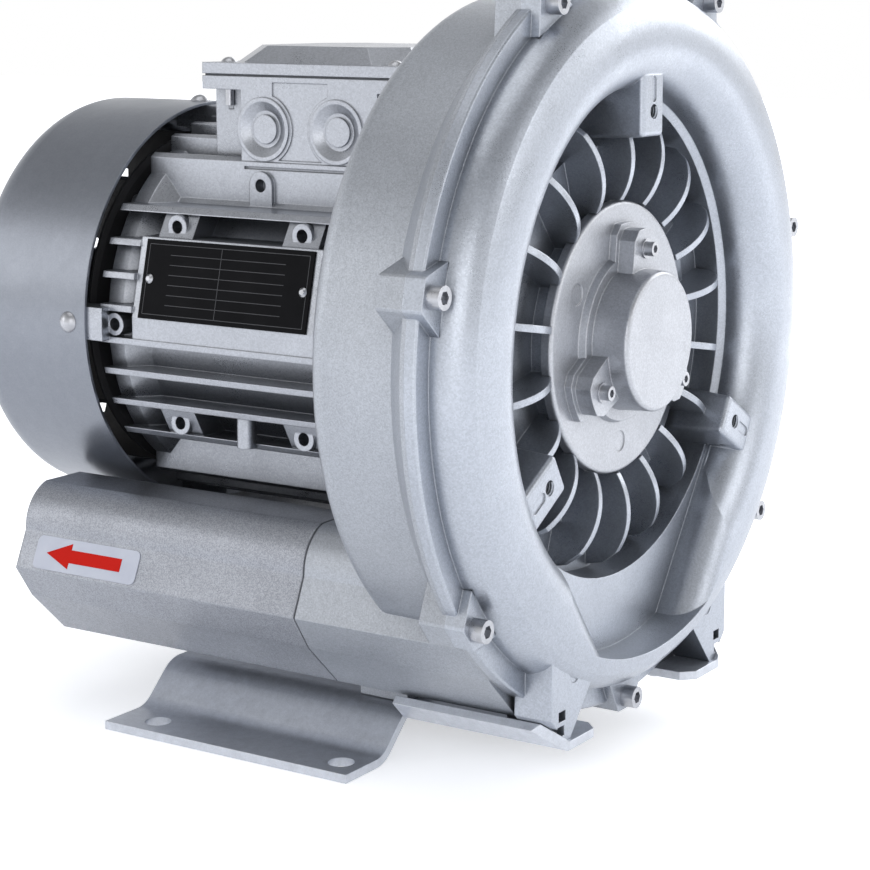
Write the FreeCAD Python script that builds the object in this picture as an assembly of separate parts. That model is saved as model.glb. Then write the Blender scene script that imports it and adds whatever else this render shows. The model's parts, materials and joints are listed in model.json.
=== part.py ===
import FreeCAD, Part
import math
import os
from FreeCAD import Vector

# Side channel blower with a finned induction motor, millimetres.
# The origin lies on the floor, midway between the four holes of the feet.
# X runs from the discharge side (-) to the intake side (+), Y from the front cover to the fan cowl.

# Impeller and side channel: the rest of the casing is built outwards from these
IMPELLER_R = 142.0
IMPELLER_RING_DEPTH = 27.0
IMPELLER_RIM_R = IMPELLER_R - IMPELLER_RING_DEPTH
CHANNEL_PLAY = 7.5
CHANNEL_WALL = 4.5
CHANNEL_OUT_R = IMPELLER_R + CHANNEL_PLAY
CHANNEL_IN_R = IMPELLER_RIM_R - 1.8
CHANNEL_ROUND = 9.0
DRUM_R = CHANNEL_OUT_R + CHANNEL_WALL
DRUM_ROUND = 9.0
FLANGE_W = 13.7
FLANGE_R = DRUM_R + FLANGE_W

# Main places: the rim face is the front of the ring's flat rim, the halves meet at the seam behind it
FOOT_TOP = 22.5
LEG_H = 11.5
AXIS_Z = FOOT_TOP + LEG_H + DRUM_R
RIM_Y = -135.5
SEAM = 5.2

# Front cover: ring, dish and hub
TORUS_FOOT_R = DRUM_R + 4.0
RING_CREST_R = DRUM_R - 4.6
RING_CREST = 16.6
RING_APEX_R = DRUM_R - 21.0
RING_APEX = RING_CREST + 3.0
LIP_R = CHANNEL_IN_R - 1.0
LIP_DEPTH = 3.0
DISH_R = LIP_R - 3.4
DISH_FLOOR = 17.0
DISH_STEP_R = DISH_R - 22.8
DISH_STEP = 4.0
COVER_WALL = 4.2
HUB_R = 58.0
HUB_FACE = 5.9
HUB_BACK = 27.0
HUB_BACK_R = 30.0
RIB_COUNT = 18
RIB_T = 3.2
RIB_FRONT = 0.9
RIB_BULGE = 4.8
RIB_END_R = DISH_R - 4.3
RIB_BEND_R = DISH_R - 9.8
RIB_CAP_GAP = 0.5
ARM_COUNT = 3
ARM_W = 19.0
ARM_FACE = 14.7
ARM_IN_R = DISH_R - 17.8
ARM_OUT_R = DISH_R + 12.2
ARM_HOLE_R = DISH_R - 6.8
ARM_HOLE_D = 6.8
ARM_HOLE_DEPTH = 18.0
ARM_DRAFT = 2.5
ARM_ROUND = 2.4
SECTOR_R = DRUM_R - 12.0
SECTOR_DEPTH = 1.0
SECTOR_TOP_R = LIP_R - 0.7
SECTOR_TOP_ANGLE = 124.9
SECTOR_FOOT_ANGLE = 164.25
SECTOR_WALL = 5.0
NOSE_R = 14.0
NOSE_WALL = 9.0

# Screws that hold the front cover
RING_SCREWS = 7
RING_SCREW_D = 6.0
RING_SCREW_LENGTH = 18.0
BOLT_R = FLANGE_R - 1.7
LUG_R = BOLT_R + RING_SCREW_D
LUG_W = 14.8
LUG_ROOT_W = 30.0
LUG_ROOT_R = TORUS_FOOT_R - 0.5
LUG_SEAT = 4.3
LUG_BACK = RING_SCREW_LENGTH - 0.4
LUG_SPREAD = 6.0

# Rear casing
CASING_FLANGE_BACK = SEAM + 1.9
DRUM_FRONT = CASING_FLANGE_BACK + FLANGE_W - 0.8
DRUM_BACK = 63.5
WEB_WALL_T = 6.5
ANNULUS_OUT_R = CHANNEL_IN_R - 6.2
HUB_SHELL_R = 40.0
SEAL_R = 25.0
SEAL_T = 7.0
SEAL_LIP = 2.0
GASKET_R = DRUM_R + 0.5
GASKET_W = 3.0
GASKET_T = 2.4

# Motor
STATOR_BORE_R = 70.0
CORE_T = 9.0
CORE_R = STATOR_BORE_R + CORE_T
FIN_REACH = 14.2
FIN_TIP_R = CORE_R + FIN_REACH
FIN_PITCH = 15.2
FIN_PER_SIDE = 8
FIN_T = 3.0
ADAPTER_BACK = DRUM_BACK + 4.0
ANNULUS_IN_R = CORE_R + 0.32 * (ANNULUS_OUT_R - CORE_R)
SPIGOT_LENGTH = 4.0
SPIGOT_WALL = 6.0
MOTOR_LENGTH = 159.5
MOTOR_FRONT = ADAPTER_BACK
MOTOR_BACK = MOTOR_FRONT + MOTOR_LENGTH
MOTOR_FLANGE_R = CORE_R + 8.0
MOTOR_FLANGE_T = 6.0
MOTOR_SCREW_R = CORE_R + 3.0
MOTOR_SCREW_D = 5.0
MOTOR_SCREWS = 4
STATOR_FRONT = MOTOR_FRONT + 27.5
STATOR_LENGTH = MOTOR_LENGTH - 69.5
AIR_GAP = 0.6
ROTOR_R = 40.0
STATOR_IN_R = ROTOR_R + AIR_GAP
WINDING_IN_R = STATOR_IN_R + 4.4
WINDING_OUT_R = STATOR_BORE_R - 6.0
WINDING_LENGTH = 15.0
END_RING_IN_R = 22.0
END_RING_R = ROTOR_R - 2.0
END_RING_LENGTH = 7.0
ROTOR_VANES = 10
SHIELD_T = 6.0
SHIELD_HUB_R = 34.0
SHIELD_SCREW_R = STATOR_BORE_R + CORE_T / 2
SHIELD_SCREW_D = 5.0
SHIELD_SCREWS = 4
PLATE_PAD_X = FIN_TIP_R - 0.8
PLATE_PAD_FRONT = MOTOR_FRONT + 36.5
PLATE_PAD_BACK = MOTOR_BACK - 19.0
PLATE_FRONT = PLATE_PAD_FRONT + 4.0
PLATE_BACK = PLATE_PAD_BACK - 4.0
PLATE_BOTTOM = 4.0
PLATE_TOP = 41.0
PLATE_T = 0.8
PLATE_LEAN = 13.0
RIVET_D = 4.6
FIN_BOSS_D = 11.0
FIN_BOSS_HOLE_D = 6.0
FIN_BOSS_Z = 46.0
FIN_BOSS_W = 20.0
FIN_BOSS_PLACES = (MOTOR_BACK - 37.0, MOTOR_BACK - 108.5)
FLARE_LENGTH = 18.0
POST_Y = MOTOR_BACK - 75.0
EARTH_BOSS_D = 10.5
EARTH_BOSS_X = FIN_TIP_R
EARTH_BOSS_Y = MOTOR_BACK - 9.0
EARTH_BOSS_LENGTH = 16.0

# Fan and cowl
COWL_R = FIN_TIP_R + 6.6
COWL_T = 1.5
COWL_FRONT = MOTOR_BACK + 3.7
COWL_BACK = COWL_FRONT + 75.9
COWL_ROUND = 14.0
COWL_BOSS_W = 15.5
COWL_BOSS_FRONT = MOTOR_BACK - 5.5
COWL_SCREW = COWL_FRONT + 10.3
COWL_BOSS_BACK = COWL_SCREW + 9.0
COWL_SCREW_D = 5.0
COWL_SCREW_LENGTH = 9.0
GRILLE_RINGS = 5
GRILLE_FIRST_R = 26.0
GRILLE_PITCH = 12.0
GRILLE_SLOT = 5.0
GRILLE_ARMS = 6
GRILLE_ARM_W = 7.0
FAN_R = COWL_R - 15.8
FAN_PLAY = 3.0
FAN_FRONT = MOTOR_BACK + 13.0
FAN_DISC_T = 2.5
FAN_BLADE_BACK = FAN_FRONT + 48.0
FAN_BLADES = 9
FAN_BLADE_T = 2.5
FAN_HUB_R = 20.0
FAN_HUB_BACK = FAN_FRONT + 24.0
FAN_BLADE_IN_R = FAN_HUB_R + 8.0
CLIP_T = 1.5
CLIP_R = 12.5

# Ducts and silencers, outline in x and height relative to the axis
DUCT_FRONT = CASING_FLANGE_BACK + 0.2
DUCT_BACK = DRUM_BACK + 38.5
DUCT_IN_X = 10.0
DUCT_BOTTOM = -DRUM_R - 2.5
DUCT_BOTTOM_X = DUCT_IN_X + 68.0
DUCT_TOP = -COWL_R + 18.8
DUCT_H = DUCT_TOP - DUCT_BOTTOM
DUCT_CHAMFER_X = DUCT_IN_X + 90.0
DUCT_CHAMFER_Z = DUCT_BOTTOM + 0.28 * DUCT_H
DUCT_SIDE_X = DUCT_IN_X + 100.5
DUCT_SIDE_Z = DUCT_BOTTOM + 0.49 * DUCT_H
DUCT_SHOULDER_X = DUCT_IN_X + 93.0
DUCT_SHOULDER_Z = DUCT_BOTTOM + 0.72 * DUCT_H
DUCT_TOP_X = DUCT_IN_X + 78.5
DUCT_SADDLE_R = COWL_R + 3.7
DUCT_WALL = 5.0
SEAM_GASKET_T = 1.0
SILENCER_LENGTH = 165.0
SILENCER_FRONT = DUCT_BACK + SEAM_GASKET_T
SILENCER_BACK = SILENCER_FRONT + SILENCER_LENGTH
SILENCER_END_WALL = 12.0
PORT_X = DUCT_IN_X + 50.0
PORT_Z = DUCT_BOTTOM + 0.457 * DUCT_H
PORT_D = 0.5934 * DUCT_H
PORT_COLLAR_D = PORT_D + 5.2
PORT_COLLAR_T = 3.0
TUBE_D = PORT_D - 4.8
TUBE_T = 1.5
LINER_GAP = 0.3
SILENCER_SCREW_PLACES = (
    (DUCT_IN_X + 80.0, DUCT_TOP - 15.0),
    (DUCT_IN_X + 12.0, DUCT_BOTTOM + 10.0),
    (DUCT_IN_X + 66.0, DUCT_BOTTOM + 9.0),
)
SILENCER_SCREW_D = 6.0
SILENCER_SCREW_GRIP = 12.0
SILENCER_BOSS_D = SILENCER_SCREW_D * 2.2

# Cast legs beside the interrupter
LEG_FRONT = 13.5
LEG_BACK = 19.0
LEG_IN_X = 44.6
LEG_OUT_X = 83.0
REAR_LEG_X = LEG_IN_X + 22.0
LEG_TIP_X = LEG_OUT_X - 11.7
LEG_TIP_Z = FOOT_TOP - AXIS_Z
LEG_CHAMFER_Z = LEG_TIP_Z + 11.5
LEG_IN_Z = LEG_TIP_Z + 26.5
LEG_TOP_Z = LEG_TIP_Z + 45.5

# Feet of bent sheet steel
FOOT_T = 4.0
FOOT_IN_X = LEG_IN_X - 0.6
FOOT_BEND_X = FOOT_IN_X + 22.0
FOOT_TOE_X = FOOT_IN_X + 42.0
FOOT_OUT_X = FOOT_IN_X + 71.0
FOOT_BEND_R = 15.0
FOOT_PAD_FRONT = -64.0
FOOT_PAD_BACK = 74.0
TONGUE_FRONT = RIM_Y - LEG_FRONT - 2.0
TONGUE_BACK = FOOT_PAD_FRONT - 3.0
TONGUE_EDGE_X = LEG_OUT_X - 1.0
TONGUE_GAP = 0.3
TONGUE_NOTCH = 12.0
FOOT_HOLE_D = 12.0
FOOT_HOLE_X = FOOT_OUT_X - 12.5
FOOT_HOLE_Y = 52.5
FOOT_SCREW_D = 6.0
FOOT_SCREW_X = FOOT_IN_X + 10.0
FOOT_SCREW_FRONT_Y = RIM_Y + LEG_BACK / 2
FOOT_SCREW_BACK_Y = FOOT_PAD_FRONT + 15.0
FOOT_SCREW_GRIP = 12.0
FOOT_BLOCK_W = 20.0
FOOT_BLOCK_L = 26.0

# Bearing cap on the hub
CAP_R = HUB_R + 3.7
CAP_FRONT = -0.9
CUP_R = 31.5
CUP_FRONT = 19.9
CUP_STEP_R = CUP_R + 5.8
CUP_STEP = 2.6
CAP_BOSS_R = CUP_R + 9.5
CAP_BOSS_W = 20.6
CAP_BOSS_STEP = 2.4
CAP_ROUND = 1.8
CAP_BOSS_IN_R = CUP_R - 1.5
CAP_BOSS_OUT_R = CAP_BOSS_R + 9.0
CAP_BOSS_FRONT = 10.5
CAP_SCREW_ANGLES = (3.0, 123.0, 243.0)
CAP_PIN_MARKS = ((CAP_BOSS_R + 5.0, -58.8), (CAP_BOSS_R + 6.6, 178.9))
CAP_SCREW_D = 4.0
CAP_SCREW_LENGTH = 22.0
CAP_WALL = 5.0
CAP_WASHER_D = 9.0
CAP_WASHER_T = 0.8

# Rotating group
BEARING_OUT_R = 26.0
BEARING_BORE_R = 12.5
BEARING_W = 15.0
BEARING_OUTER_LAND_R = BEARING_OUT_R - 3.4
BEARING_INNER_LAND_R = BEARING_BORE_R + 3.4
BALL_D = 7.9
BALL_COUNT = 9
BALL_PLAY = 0.06
CAGE_T = 1.2
CAGE_W = BALL_D + 3.0
WAVE_SPRING_T = 3.0
FRONT_BEARING = HUB_FACE + WAVE_SPRING_T + 0.1
REAR_BEARING = MOTOR_BACK - 20.0
SPACER_R = 17.0
IMPELLER_HUB_R = 28.0
IMPELLER_HUB_FRONT = HUB_BACK + 1.0
IMPELLER_HUB_LENGTH = 29.5
IMPELLER_HUB_BACK = IMPELLER_HUB_FRONT + IMPELLER_HUB_LENGTH
IMPELLER_SEAT_R = 14.0
IMPELLER_WEB_FRONT = DISH_FLOOR + COVER_WALL + 0.8
IMPELLER_WEB_T = 6.0
IMPELLER_RING_W = 26.0
IMPELLER_VANES = 36
IMPELLER_VANE_T = 2.4
IMPELLER_RIB_T = 3.0
BLADE_GAP = 1.0
BLADE_FRONT = IMPELLER_WEB_FRONT + IMPELLER_WEB_T / 2 - IMPELLER_RING_W / 2
STRIPPER_FACE = BLADE_FRONT - BLADE_GAP
WEB_WALL_FRONT = IMPELLER_WEB_FRONT + IMPELLER_WEB_T + 1.5
WEB_WALL_BACK = WEB_WALL_FRONT + WEB_WALL_T
HUB_POCKET_R = IMPELLER_HUB_R + 4.0
HUB_POCKET_BACK = IMPELLER_HUB_BACK + 1.5
KEY_W = 6.0
KEY_H = 6.0
KEY_LENGTH = IMPELLER_HUB_LENGTH - 7.5
SEAL_SHAFT_R = 16.0
SEAL_RUNNING_GAP = 0.05
ROTOR_SHAFT_R = 19.0
ROTOR_SHAFT_FRONT = HUB_POCKET_BACK + SEAL_LIP + SEAL_T + 3.0
FAN_SEAT_R = 9.5
SHAFT_BACK = FAN_HUB_BACK + 8.0
END_BOLT_D = 8.0
END_WASHER_R = 16.0
END_WASHER_T = 2.6

# Terminal box, cast with the motor housing
BOX_X = 54.1
BOX_FRONT = MOTOR_FRONT + 15.5
BOX_LENGTH = 112.4
BOX_BACK = BOX_FRONT + BOX_LENGTH
BOX_BASE = 53.3
BOX_FLOOR = CORE_R + 7.0
BOX_TOP = CORE_R + 35.8
BOX_RIM = BOX_TOP - 6.2
BOX_NOTCH_X = BOX_X - 10.1
BOX_NOTCH_BACK = BOX_BACK - 22.6
BOX_NOTCH_FRONT = BOX_FRONT + 13.0
BOX_WALL = 4.5
BOX_GASKET_T = 1.0
LID_RIM_T = 5.2
LID_TOP = BOX_TOP + 14.0
LID_BEVEL = 8.0
LID_INSET = 6.0
LID_CORNER = 20.0
LID_WALL = 3.0
LID_SCREW_IN = 9.0
LID_SCREW_D = 4.0
LID_SCREW_LENGTH = 16.0
KNOCKOUT_RIM_D = 29.5
KNOCKOUT_RIM_T = 0.9
KNOCKOUT_D = 26.0
KNOCKOUT_FLOOR_D = 17.0
KNOCKOUT_DEPTH = 2.8
KNOCKOUT_DISC_D = 13.5
KNOCKOUT_DISC_T = 1.6
PANEL_DEPTH = 0.7
PANEL_IN = 5.0
BOX_BOSS_Y = BOX_FRONT + 77.0
BOX_BOSS_Z = BOX_TOP - 50.0
BOX_BOSS_W = 13.0
BOX_BOSS_T = 2.5
BOX_BOSS_HOLE_D = 6.0
KNOCKOUT_Z = BOX_TOP - 24.1
KNOCKOUT_Y = BOX_FRONT + 76.7
KNOCKOUT_PITCH = 41.3
BOARD_W = 56.0
BOARD_L = 66.0
BOARD_H = 9.0
STUD_D = 4.0
STUD_H = 11.0
STUD_PITCH = 18.0
NUT_ACROSS = 7.0
NUT_H = 3.2

# Flow direction label on the discharge silencer
LABEL_FRONT = SILENCER_BACK - 73.0
LABEL_LENGTH = 63.0
LABEL_H = 16.0
LABEL_T = 0.4

os.makedirs("parts", exist_ok=True)

AXIS = Vector(0, 0, AXIS_Z)
BEND = 1 - math.sqrt(0.5)
ALONG_Y = Vector(0, 1, 0)


# Helpers

def save(name, *solids):
    """Write one sub-part, made of one or more solids."""
    shape = solids[0] if len(solids) == 1 else Part.makeCompound(list(solids))
    shape.exportStep(f"parts/{name}.step")


def closed_wire(points, place):
    """Closed wire through flat points; a pair (middle, end) makes an arc."""
    edges = []
    first = place(*points[0])
    last = first
    for point in points[1:]:
        if isinstance(point[0], tuple):
            middle = place(*point[0])
            end = place(*point[1])
            edges.append(Part.Arc(last, middle, end).toShape())
        else:
            end = place(*point)
            edges.append(Part.LineSegment(last, end).toShape())
        last = end
    if last.distanceToPoint(first) > 1e-6:
        edges.append(Part.LineSegment(last, first).toShape())
    return Part.Wire(edges)


def turned(points):
    """Solid of revolution about the shaft axis from (radius, distance behind the rim face)."""
    wire = closed_wire(points, lambda r, y: Vector(r, RIM_Y + y, AXIS_Z))
    return Part.Face(wire).revolve(AXIS, ALONG_Y, 360)


def ring(outer, inner, front, back):
    """Plain ring or disc about the shaft axis."""
    start = AXIS + ALONG_Y * (RIM_Y + front)
    solid = Part.makeCylinder(outer, back - front, start, ALONG_Y)
    if inner > 0:
        solid = solid.cut(Part.makeCylinder(inner, back - front, start, ALONG_Y))
    return solid


def prism(points, front, back):
    """Extrusion along the axis of an outline in x and height relative to the axis."""
    wire = closed_wire(points, lambda x, z: Vector(x, RIM_Y + front, AXIS_Z + z))
    return Part.Face(wire).extrude(ALONG_Y * (back - front))


def block(x0, x1, front, back, z0, z1):
    """Box between two x values, two distances behind the rim face and two heights from the axis."""
    corner = Vector(min(x0, x1), RIM_Y + front, AXIS_Z + z0)
    return Part.makeBox(abs(x1 - x0), back - front, z1 - z0, corner)


def spun(shape, angle):
    """Copy turned clockwise about the shaft axis, as seen from the front."""
    copy = shape.copy()
    copy.rotate(AXIS, ALONG_Y, angle)
    return copy


def mirrored(shape):
    """Copy on the other side of the blower's middle plane."""
    return shape.mirror(Vector(0, 0, 0), Vector(1, 0, 0))


def place_at(radius, angle, distance):
    """Point at a radius and clockwise angle about the axis."""
    turn = math.radians(angle)
    return Vector(radius * math.sin(turn), RIM_Y + distance, AXIS_Z + radius * math.cos(turn))


def rod(diameter, start, direction, length):
    return Part.makeCylinder(diameter / 2, length, start, direction)


def hexagon(across, height, start, direction):
    """Hexagonal prism, centred on a point."""
    points = []
    for corner in range(6):
        turn = math.radians(60 * corner)
        points.append(Vector(across / math.sqrt(3) * math.cos(turn), across / math.sqrt(3) * math.sin(turn), 0))
    points.append(points[0])
    solid = Part.Face(Part.makePolygon(points)).extrude(Vector(0, 0, height))
    solid.Placement = FreeCAD.Placement(start, FreeCAD.Rotation(Vector(0, 0, 1), direction))
    return solid


def socket_screw(size, length, seat, direction):
    """Socket head cap screw; seat is the point under the head, direction runs along the shank."""
    head = rod(size * 1.65, seat - direction * size, direction, size)
    shank = rod(size * 0.98, seat, direction, length)
    socket = hexagon(size * 0.83, size * 0.5, seat - direction * size, direction)
    return head.fuse(shank).cut(socket).removeSplitter()


def pan_screw(size, length, seat, direction):
    """Pan head screw with a cross recess."""
    height = size * 0.6
    radius = size
    sphere_r = (radius ** 2 + height ** 2) / (2 * height)
    ball = Part.makeSphere(sphere_r, seat - direction * (height - sphere_r))
    head = ball.common(rod(2 * radius, seat - direction * height, direction, height))
    shank = rod(size * 0.98, seat, direction, length)
    return head.fuse(shank).removeSplitter()


def bent_strip(points, radius, thickness):
    """Outline of a bent sheet from its middle line; every inner corner gets the same bend."""
    sides = ([], [])
    count = len(points)
    for index in range(count):
        x, z = points[index]
        if index in (0, count - 1):
            other = points[1] if index == 0 else points[count - 2]
            sign = 1 if index == 0 else -1
            span = math.hypot(other[0] - x, other[1] - z)
            ux = sign * (other[0] - x) / span
            uz = sign * (other[1] - z) / span
            for side, offset in zip(sides, (thickness / 2, -thickness / 2)):
                side.append((x - uz * offset, z + ux * offset))
            continue
        before = points[index - 1]
        after = points[index + 1]
        a = math.atan2(z - before[1], x - before[0])
        b = math.atan2(after[1] - z, after[0] - x)
        turn = (b - a + math.pi) % (2 * math.pi) - math.pi
        reach = radius * math.tan(abs(turn) / 2)
        sense = 1 if turn > 0 else -1
        start = (x - reach * math.cos(a), z - reach * math.sin(a))
        centre = (start[0] - sense * radius * math.sin(a), start[1] + sense * radius * math.cos(a))
        for side, offset in zip(sides, (thickness / 2, -thickness / 2)):
            r = radius - sense * offset
            spots = []
            for part in (0.0, 0.5, 1.0):
                heading = a + turn * part
                spots.append((centre[0] + sense * r * math.sin(heading),
                              centre[1] - sense * r * math.cos(heading)))
            side.append(spots[0])
            side.append((spots[1], spots[2]))
    return sides


def strip_prism(points, radius, thickness, front, back):
    """Bent sheet, extruded along the axis; points are x and absolute height."""
    sides = bent_strip(points, radius, thickness)
    edges = []
    ends = []
    for side in sides:
        last = Vector(side[0][0], RIM_Y + front, side[0][1])
        ends.append(last)
        for point in side[1:]:
            if isinstance(point[0], tuple):
                middle = Vector(point[0][0], RIM_Y + front, point[0][1])
                end = Vector(point[1][0], RIM_Y + front, point[1][1])
                edges.append(Part.Arc(last, middle, end).toShape())
            else:
                end = Vector(point[0], RIM_Y + front, point[1])
                edges.append(Part.LineSegment(last, end).toShape())
            last = end
        ends.append(last)
    edges.append(Part.LineSegment(ends[0], ends[2]).toShape())
    edges.append(Part.LineSegment(ends[1], ends[3]).toShape())
    wire = Part.Wire(Part.__sortEdges__(edges))
    return Part.Face(wire).extrude(ALONG_Y * (back - front))


# Shared outlines

def sector_outline(grow):
    """Flat sector between the two ends of the ring, at the bottom of the cover."""
    top_x = SECTOR_TOP_R * math.sin(math.radians(SECTOR_TOP_ANGLE)) + grow
    top_z = SECTOR_TOP_R * math.cos(math.radians(SECTOR_TOP_ANGLE)) + grow
    foot_x = SECTOR_R * math.sin(math.radians(SECTOR_FOOT_ANGLE)) + grow
    foot_r = SECTOR_R + grow
    foot_z = -math.sqrt(foot_r ** 2 - foot_x ** 2)
    return [(-top_x, top_z), (-foot_x, foot_z), ((0, -foot_r), (foot_x, foot_z)), (top_x, top_z)]


def duct_outline():
    """Section of the discharge duct and silencer, on the -X side."""
    saddle_x = math.sqrt(DUCT_SADDLE_R ** 2 - DUCT_TOP ** 2)
    middle_x = (saddle_x + DUCT_IN_X) / 2
    middle_z = -math.sqrt(DUCT_SADDLE_R ** 2 - middle_x ** 2)
    inner_z = -math.sqrt(DUCT_SADDLE_R ** 2 - DUCT_IN_X ** 2)
    bulge_x = (DUCT_SHOULDER_X + DUCT_TOP_X) / 2 + 3.0
    bulge_z = (DUCT_SHOULDER_Z + DUCT_TOP) / 2 + 3.0
    return [
        (-DUCT_IN_X, DUCT_BOTTOM),
        (-DUCT_BOTTOM_X, DUCT_BOTTOM),
        (-DUCT_CHAMFER_X, DUCT_CHAMFER_Z),
        (-DUCT_SIDE_X, DUCT_SIDE_Z),
        (-DUCT_SHOULDER_X, DUCT_SHOULDER_Z),
        ((-bulge_x, bulge_z), (-DUCT_TOP_X, DUCT_TOP)),
        (-saddle_x, DUCT_TOP),
        ((-middle_x, middle_z), (-DUCT_IN_X, inner_z)),
    ]


def duct_solid(front, back, inset):
    """Length of duct or silencer, shrunk all round by an inset."""
    wire = closed_wire(duct_outline(), lambda x, z: Vector(x, RIM_Y + front, AXIS_Z + z))
    face = Part.Face(wire)
    if inset > 0:
        face = face.makeOffset2D(-inset)
    return face.extrude(ALONG_Y * (back - front))


# Front cover

def cover_lug():
    """Screw lug on the rim of the cover, at the top."""
    outline = [
        (-LUG_ROOT_W / 2, LUG_ROOT_R),
        (-LUG_W / 2, LUG_R - 1),
        (-LUG_W / 2 + 1, LUG_R),
        (LUG_W / 2 - 1, LUG_R),
        (LUG_W / 2, LUG_R - 1),
        (LUG_ROOT_W / 2, LUG_ROOT_R),
    ]
    return prism(outline, -LUG_SEAT, SEAM)


def leg(front, back, inner_z, inner_tip):
    """Cast leg that stands on the foot, on the -X side; its inner flank may slope."""
    outline = [
        (-LEG_IN_X, inner_z),
        (-inner_tip, LEG_TIP_Z),
        (-LEG_TIP_X, LEG_TIP_Z),
        (-LEG_OUT_X, LEG_CHAMFER_Z),
        (-LEG_OUT_X, LEG_TOP_Z),
        (-LEG_IN_X, LEG_TOP_Z),
    ]
    return prism(outline, front, back)


def ring_angles():
    """Clockwise angles of the cover screws; one is at the bottom."""
    return [180 + index * 360 / RING_SCREWS for index in range(RING_SCREWS)]


def front_cover():
    outer = [
        (BEARING_OUT_R, HUB_FACE),
        (HUB_R, HUB_FACE),
        (HUB_R, DISH_FLOOR - DISH_STEP),
        (DISH_STEP_R, DISH_FLOOR - DISH_STEP),
        (DISH_STEP_R, DISH_FLOOR),
        (DISH_R - 1, DISH_FLOOR),
        (DISH_R, LIP_DEPTH + 2.4),
        (LIP_R, LIP_DEPTH),
        ((LIP_R + 5.2, -13.0), (RING_APEX_R, -RING_APEX)),
        (((RING_APEX_R + RING_CREST_R) / 2 + 0.5, -RING_APEX + 0.7), (RING_CREST_R, -RING_CREST)),
        ((TORUS_FOOT_R - 1.9, -9.0), (TORUS_FOOT_R, 0)),
        (FLANGE_R - 0.8, 0),
        (FLANGE_R, 0.8),
        (FLANGE_R, SEAM),
        (CHANNEL_IN_R - 0.4, SEAM),
        (CHANNEL_IN_R - 0.4, DISH_FLOOR + COVER_WALL),
        (DISH_STEP_R - COVER_WALL, DISH_FLOOR + COVER_WALL),
        (DISH_STEP_R - COVER_WALL, DISH_FLOOR - DISH_STEP + COVER_WALL),
        (HUB_BACK_R + 6, DISH_FLOOR - DISH_STEP + COVER_WALL),
        (HUB_BACK_R, HUB_BACK),
        (BEARING_OUTER_LAND_R, HUB_BACK),
        (BEARING_OUTER_LAND_R, FRONT_BEARING + BEARING_W),
        (BEARING_OUT_R, FRONT_BEARING + BEARING_W),
    ]
    body = turned(outer)
    channel = turned([
        (CHANNEL_IN_R - 0.4, SEAM + 1),
        (CHANNEL_IN_R - 0.4, -1),
        (LIP_R + COVER_WALL + 1, -1),
        ((LIP_R + COVER_WALL + 4.5, -10.5), (RING_APEX_R + 1, -RING_APEX + COVER_WALL)),
        ((RING_CREST_R - 5, -RING_APEX + COVER_WALL + 1.6), (CHANNEL_OUT_R, -7.0)),
        (CHANNEL_OUT_R, SEAM + 1),
    ])
    stripper = prism(sector_outline(NOSE_WALL), -RING_APEX, SEAM + 1)
    body = body.cut(channel.cut(stripper))
    pieces = []
    rib = [
        (HUB_R - 1, DISH_FLOOR),
        (HUB_R - 1, HUB_FACE),
        (CAP_R + RIB_CAP_GAP, HUB_FACE),
        (CAP_R + RIB_CAP_GAP, RIB_FRONT),
        (((CAP_R + RIB_BEND_R) / 2, -RIB_BULGE), (RIB_BEND_R, RIB_FRONT)),
        (RIB_END_R, 8),
        (RIB_END_R + 2, DISH_FLOOR + 1),
    ]
    wire = closed_wire(rib, lambda r, y: Vector(-RIB_T / 2, RIM_Y + y, AXIS_Z + r))
    rib = Part.Face(wire).extrude(Vector(RIB_T, 0, 0))
    for index in range(RIB_COUNT):
        pieces.append(spun(rib, index * 360 / RIB_COUNT))
    for index in range(ARM_COUNT):
        pieces.append(spun(arm(), index * 360 / ARM_COUNT))
    for angle in ring_angles():
        pieces.append(spun(cover_lug(), angle))
    cover_leg = leg(-LEG_FRONT, SEAM, LEG_IN_Z, LEG_TIP_X - 4)
    pieces.append(cover_leg.cut([ring(BOLT_R - 20, 0, -30, SEAM + 1)] + leg_windows()))
    pieces.append(mirrored(pieces[-1]))
    plate = prism(sector_outline(SECTOR_WALL), -0.5, STRIPPER_FACE)
    pieces.append(plate.common(ring(CHANNEL_OUT_R - 0.3, DISH_R, -0.5, STRIPPER_FACE)))
    body = body.fuse(pieces)
    body = body.cut(prism(sector_outline(0), -30, SECTOR_DEPTH).cut(ring(DISH_R, 0, -30, SECTOR_DEPTH)))
    nose = nose_tool()
    cuts = [nose, mirrored(nose)]
    for angle in ring_angles():
        cuts.append(rod(RING_SCREW_D + 0.6, place_at(BOLT_R, angle, -30), ALONG_Y, 40))
    mark = arm_mark()
    for index in range(ARM_COUNT):
        start = place_at(ARM_HOLE_R, index * 360 / ARM_COUNT, -ARM_FACE - 1)
        cuts.append(rod(ARM_HOLE_D, start, ALONG_Y, ARM_HOLE_DEPTH + 1))
        cuts.append(spun(mark, index * 360 / ARM_COUNT))
    for angle in CAP_SCREW_ANGLES:
        start = place_at(CAP_BOSS_R, angle, HUB_FACE - 1)
        cuts.append(rod(CAP_SCREW_D, start, ALONG_Y, CAP_SCREW_LENGTH))
    return body.cut(cuts)


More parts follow.
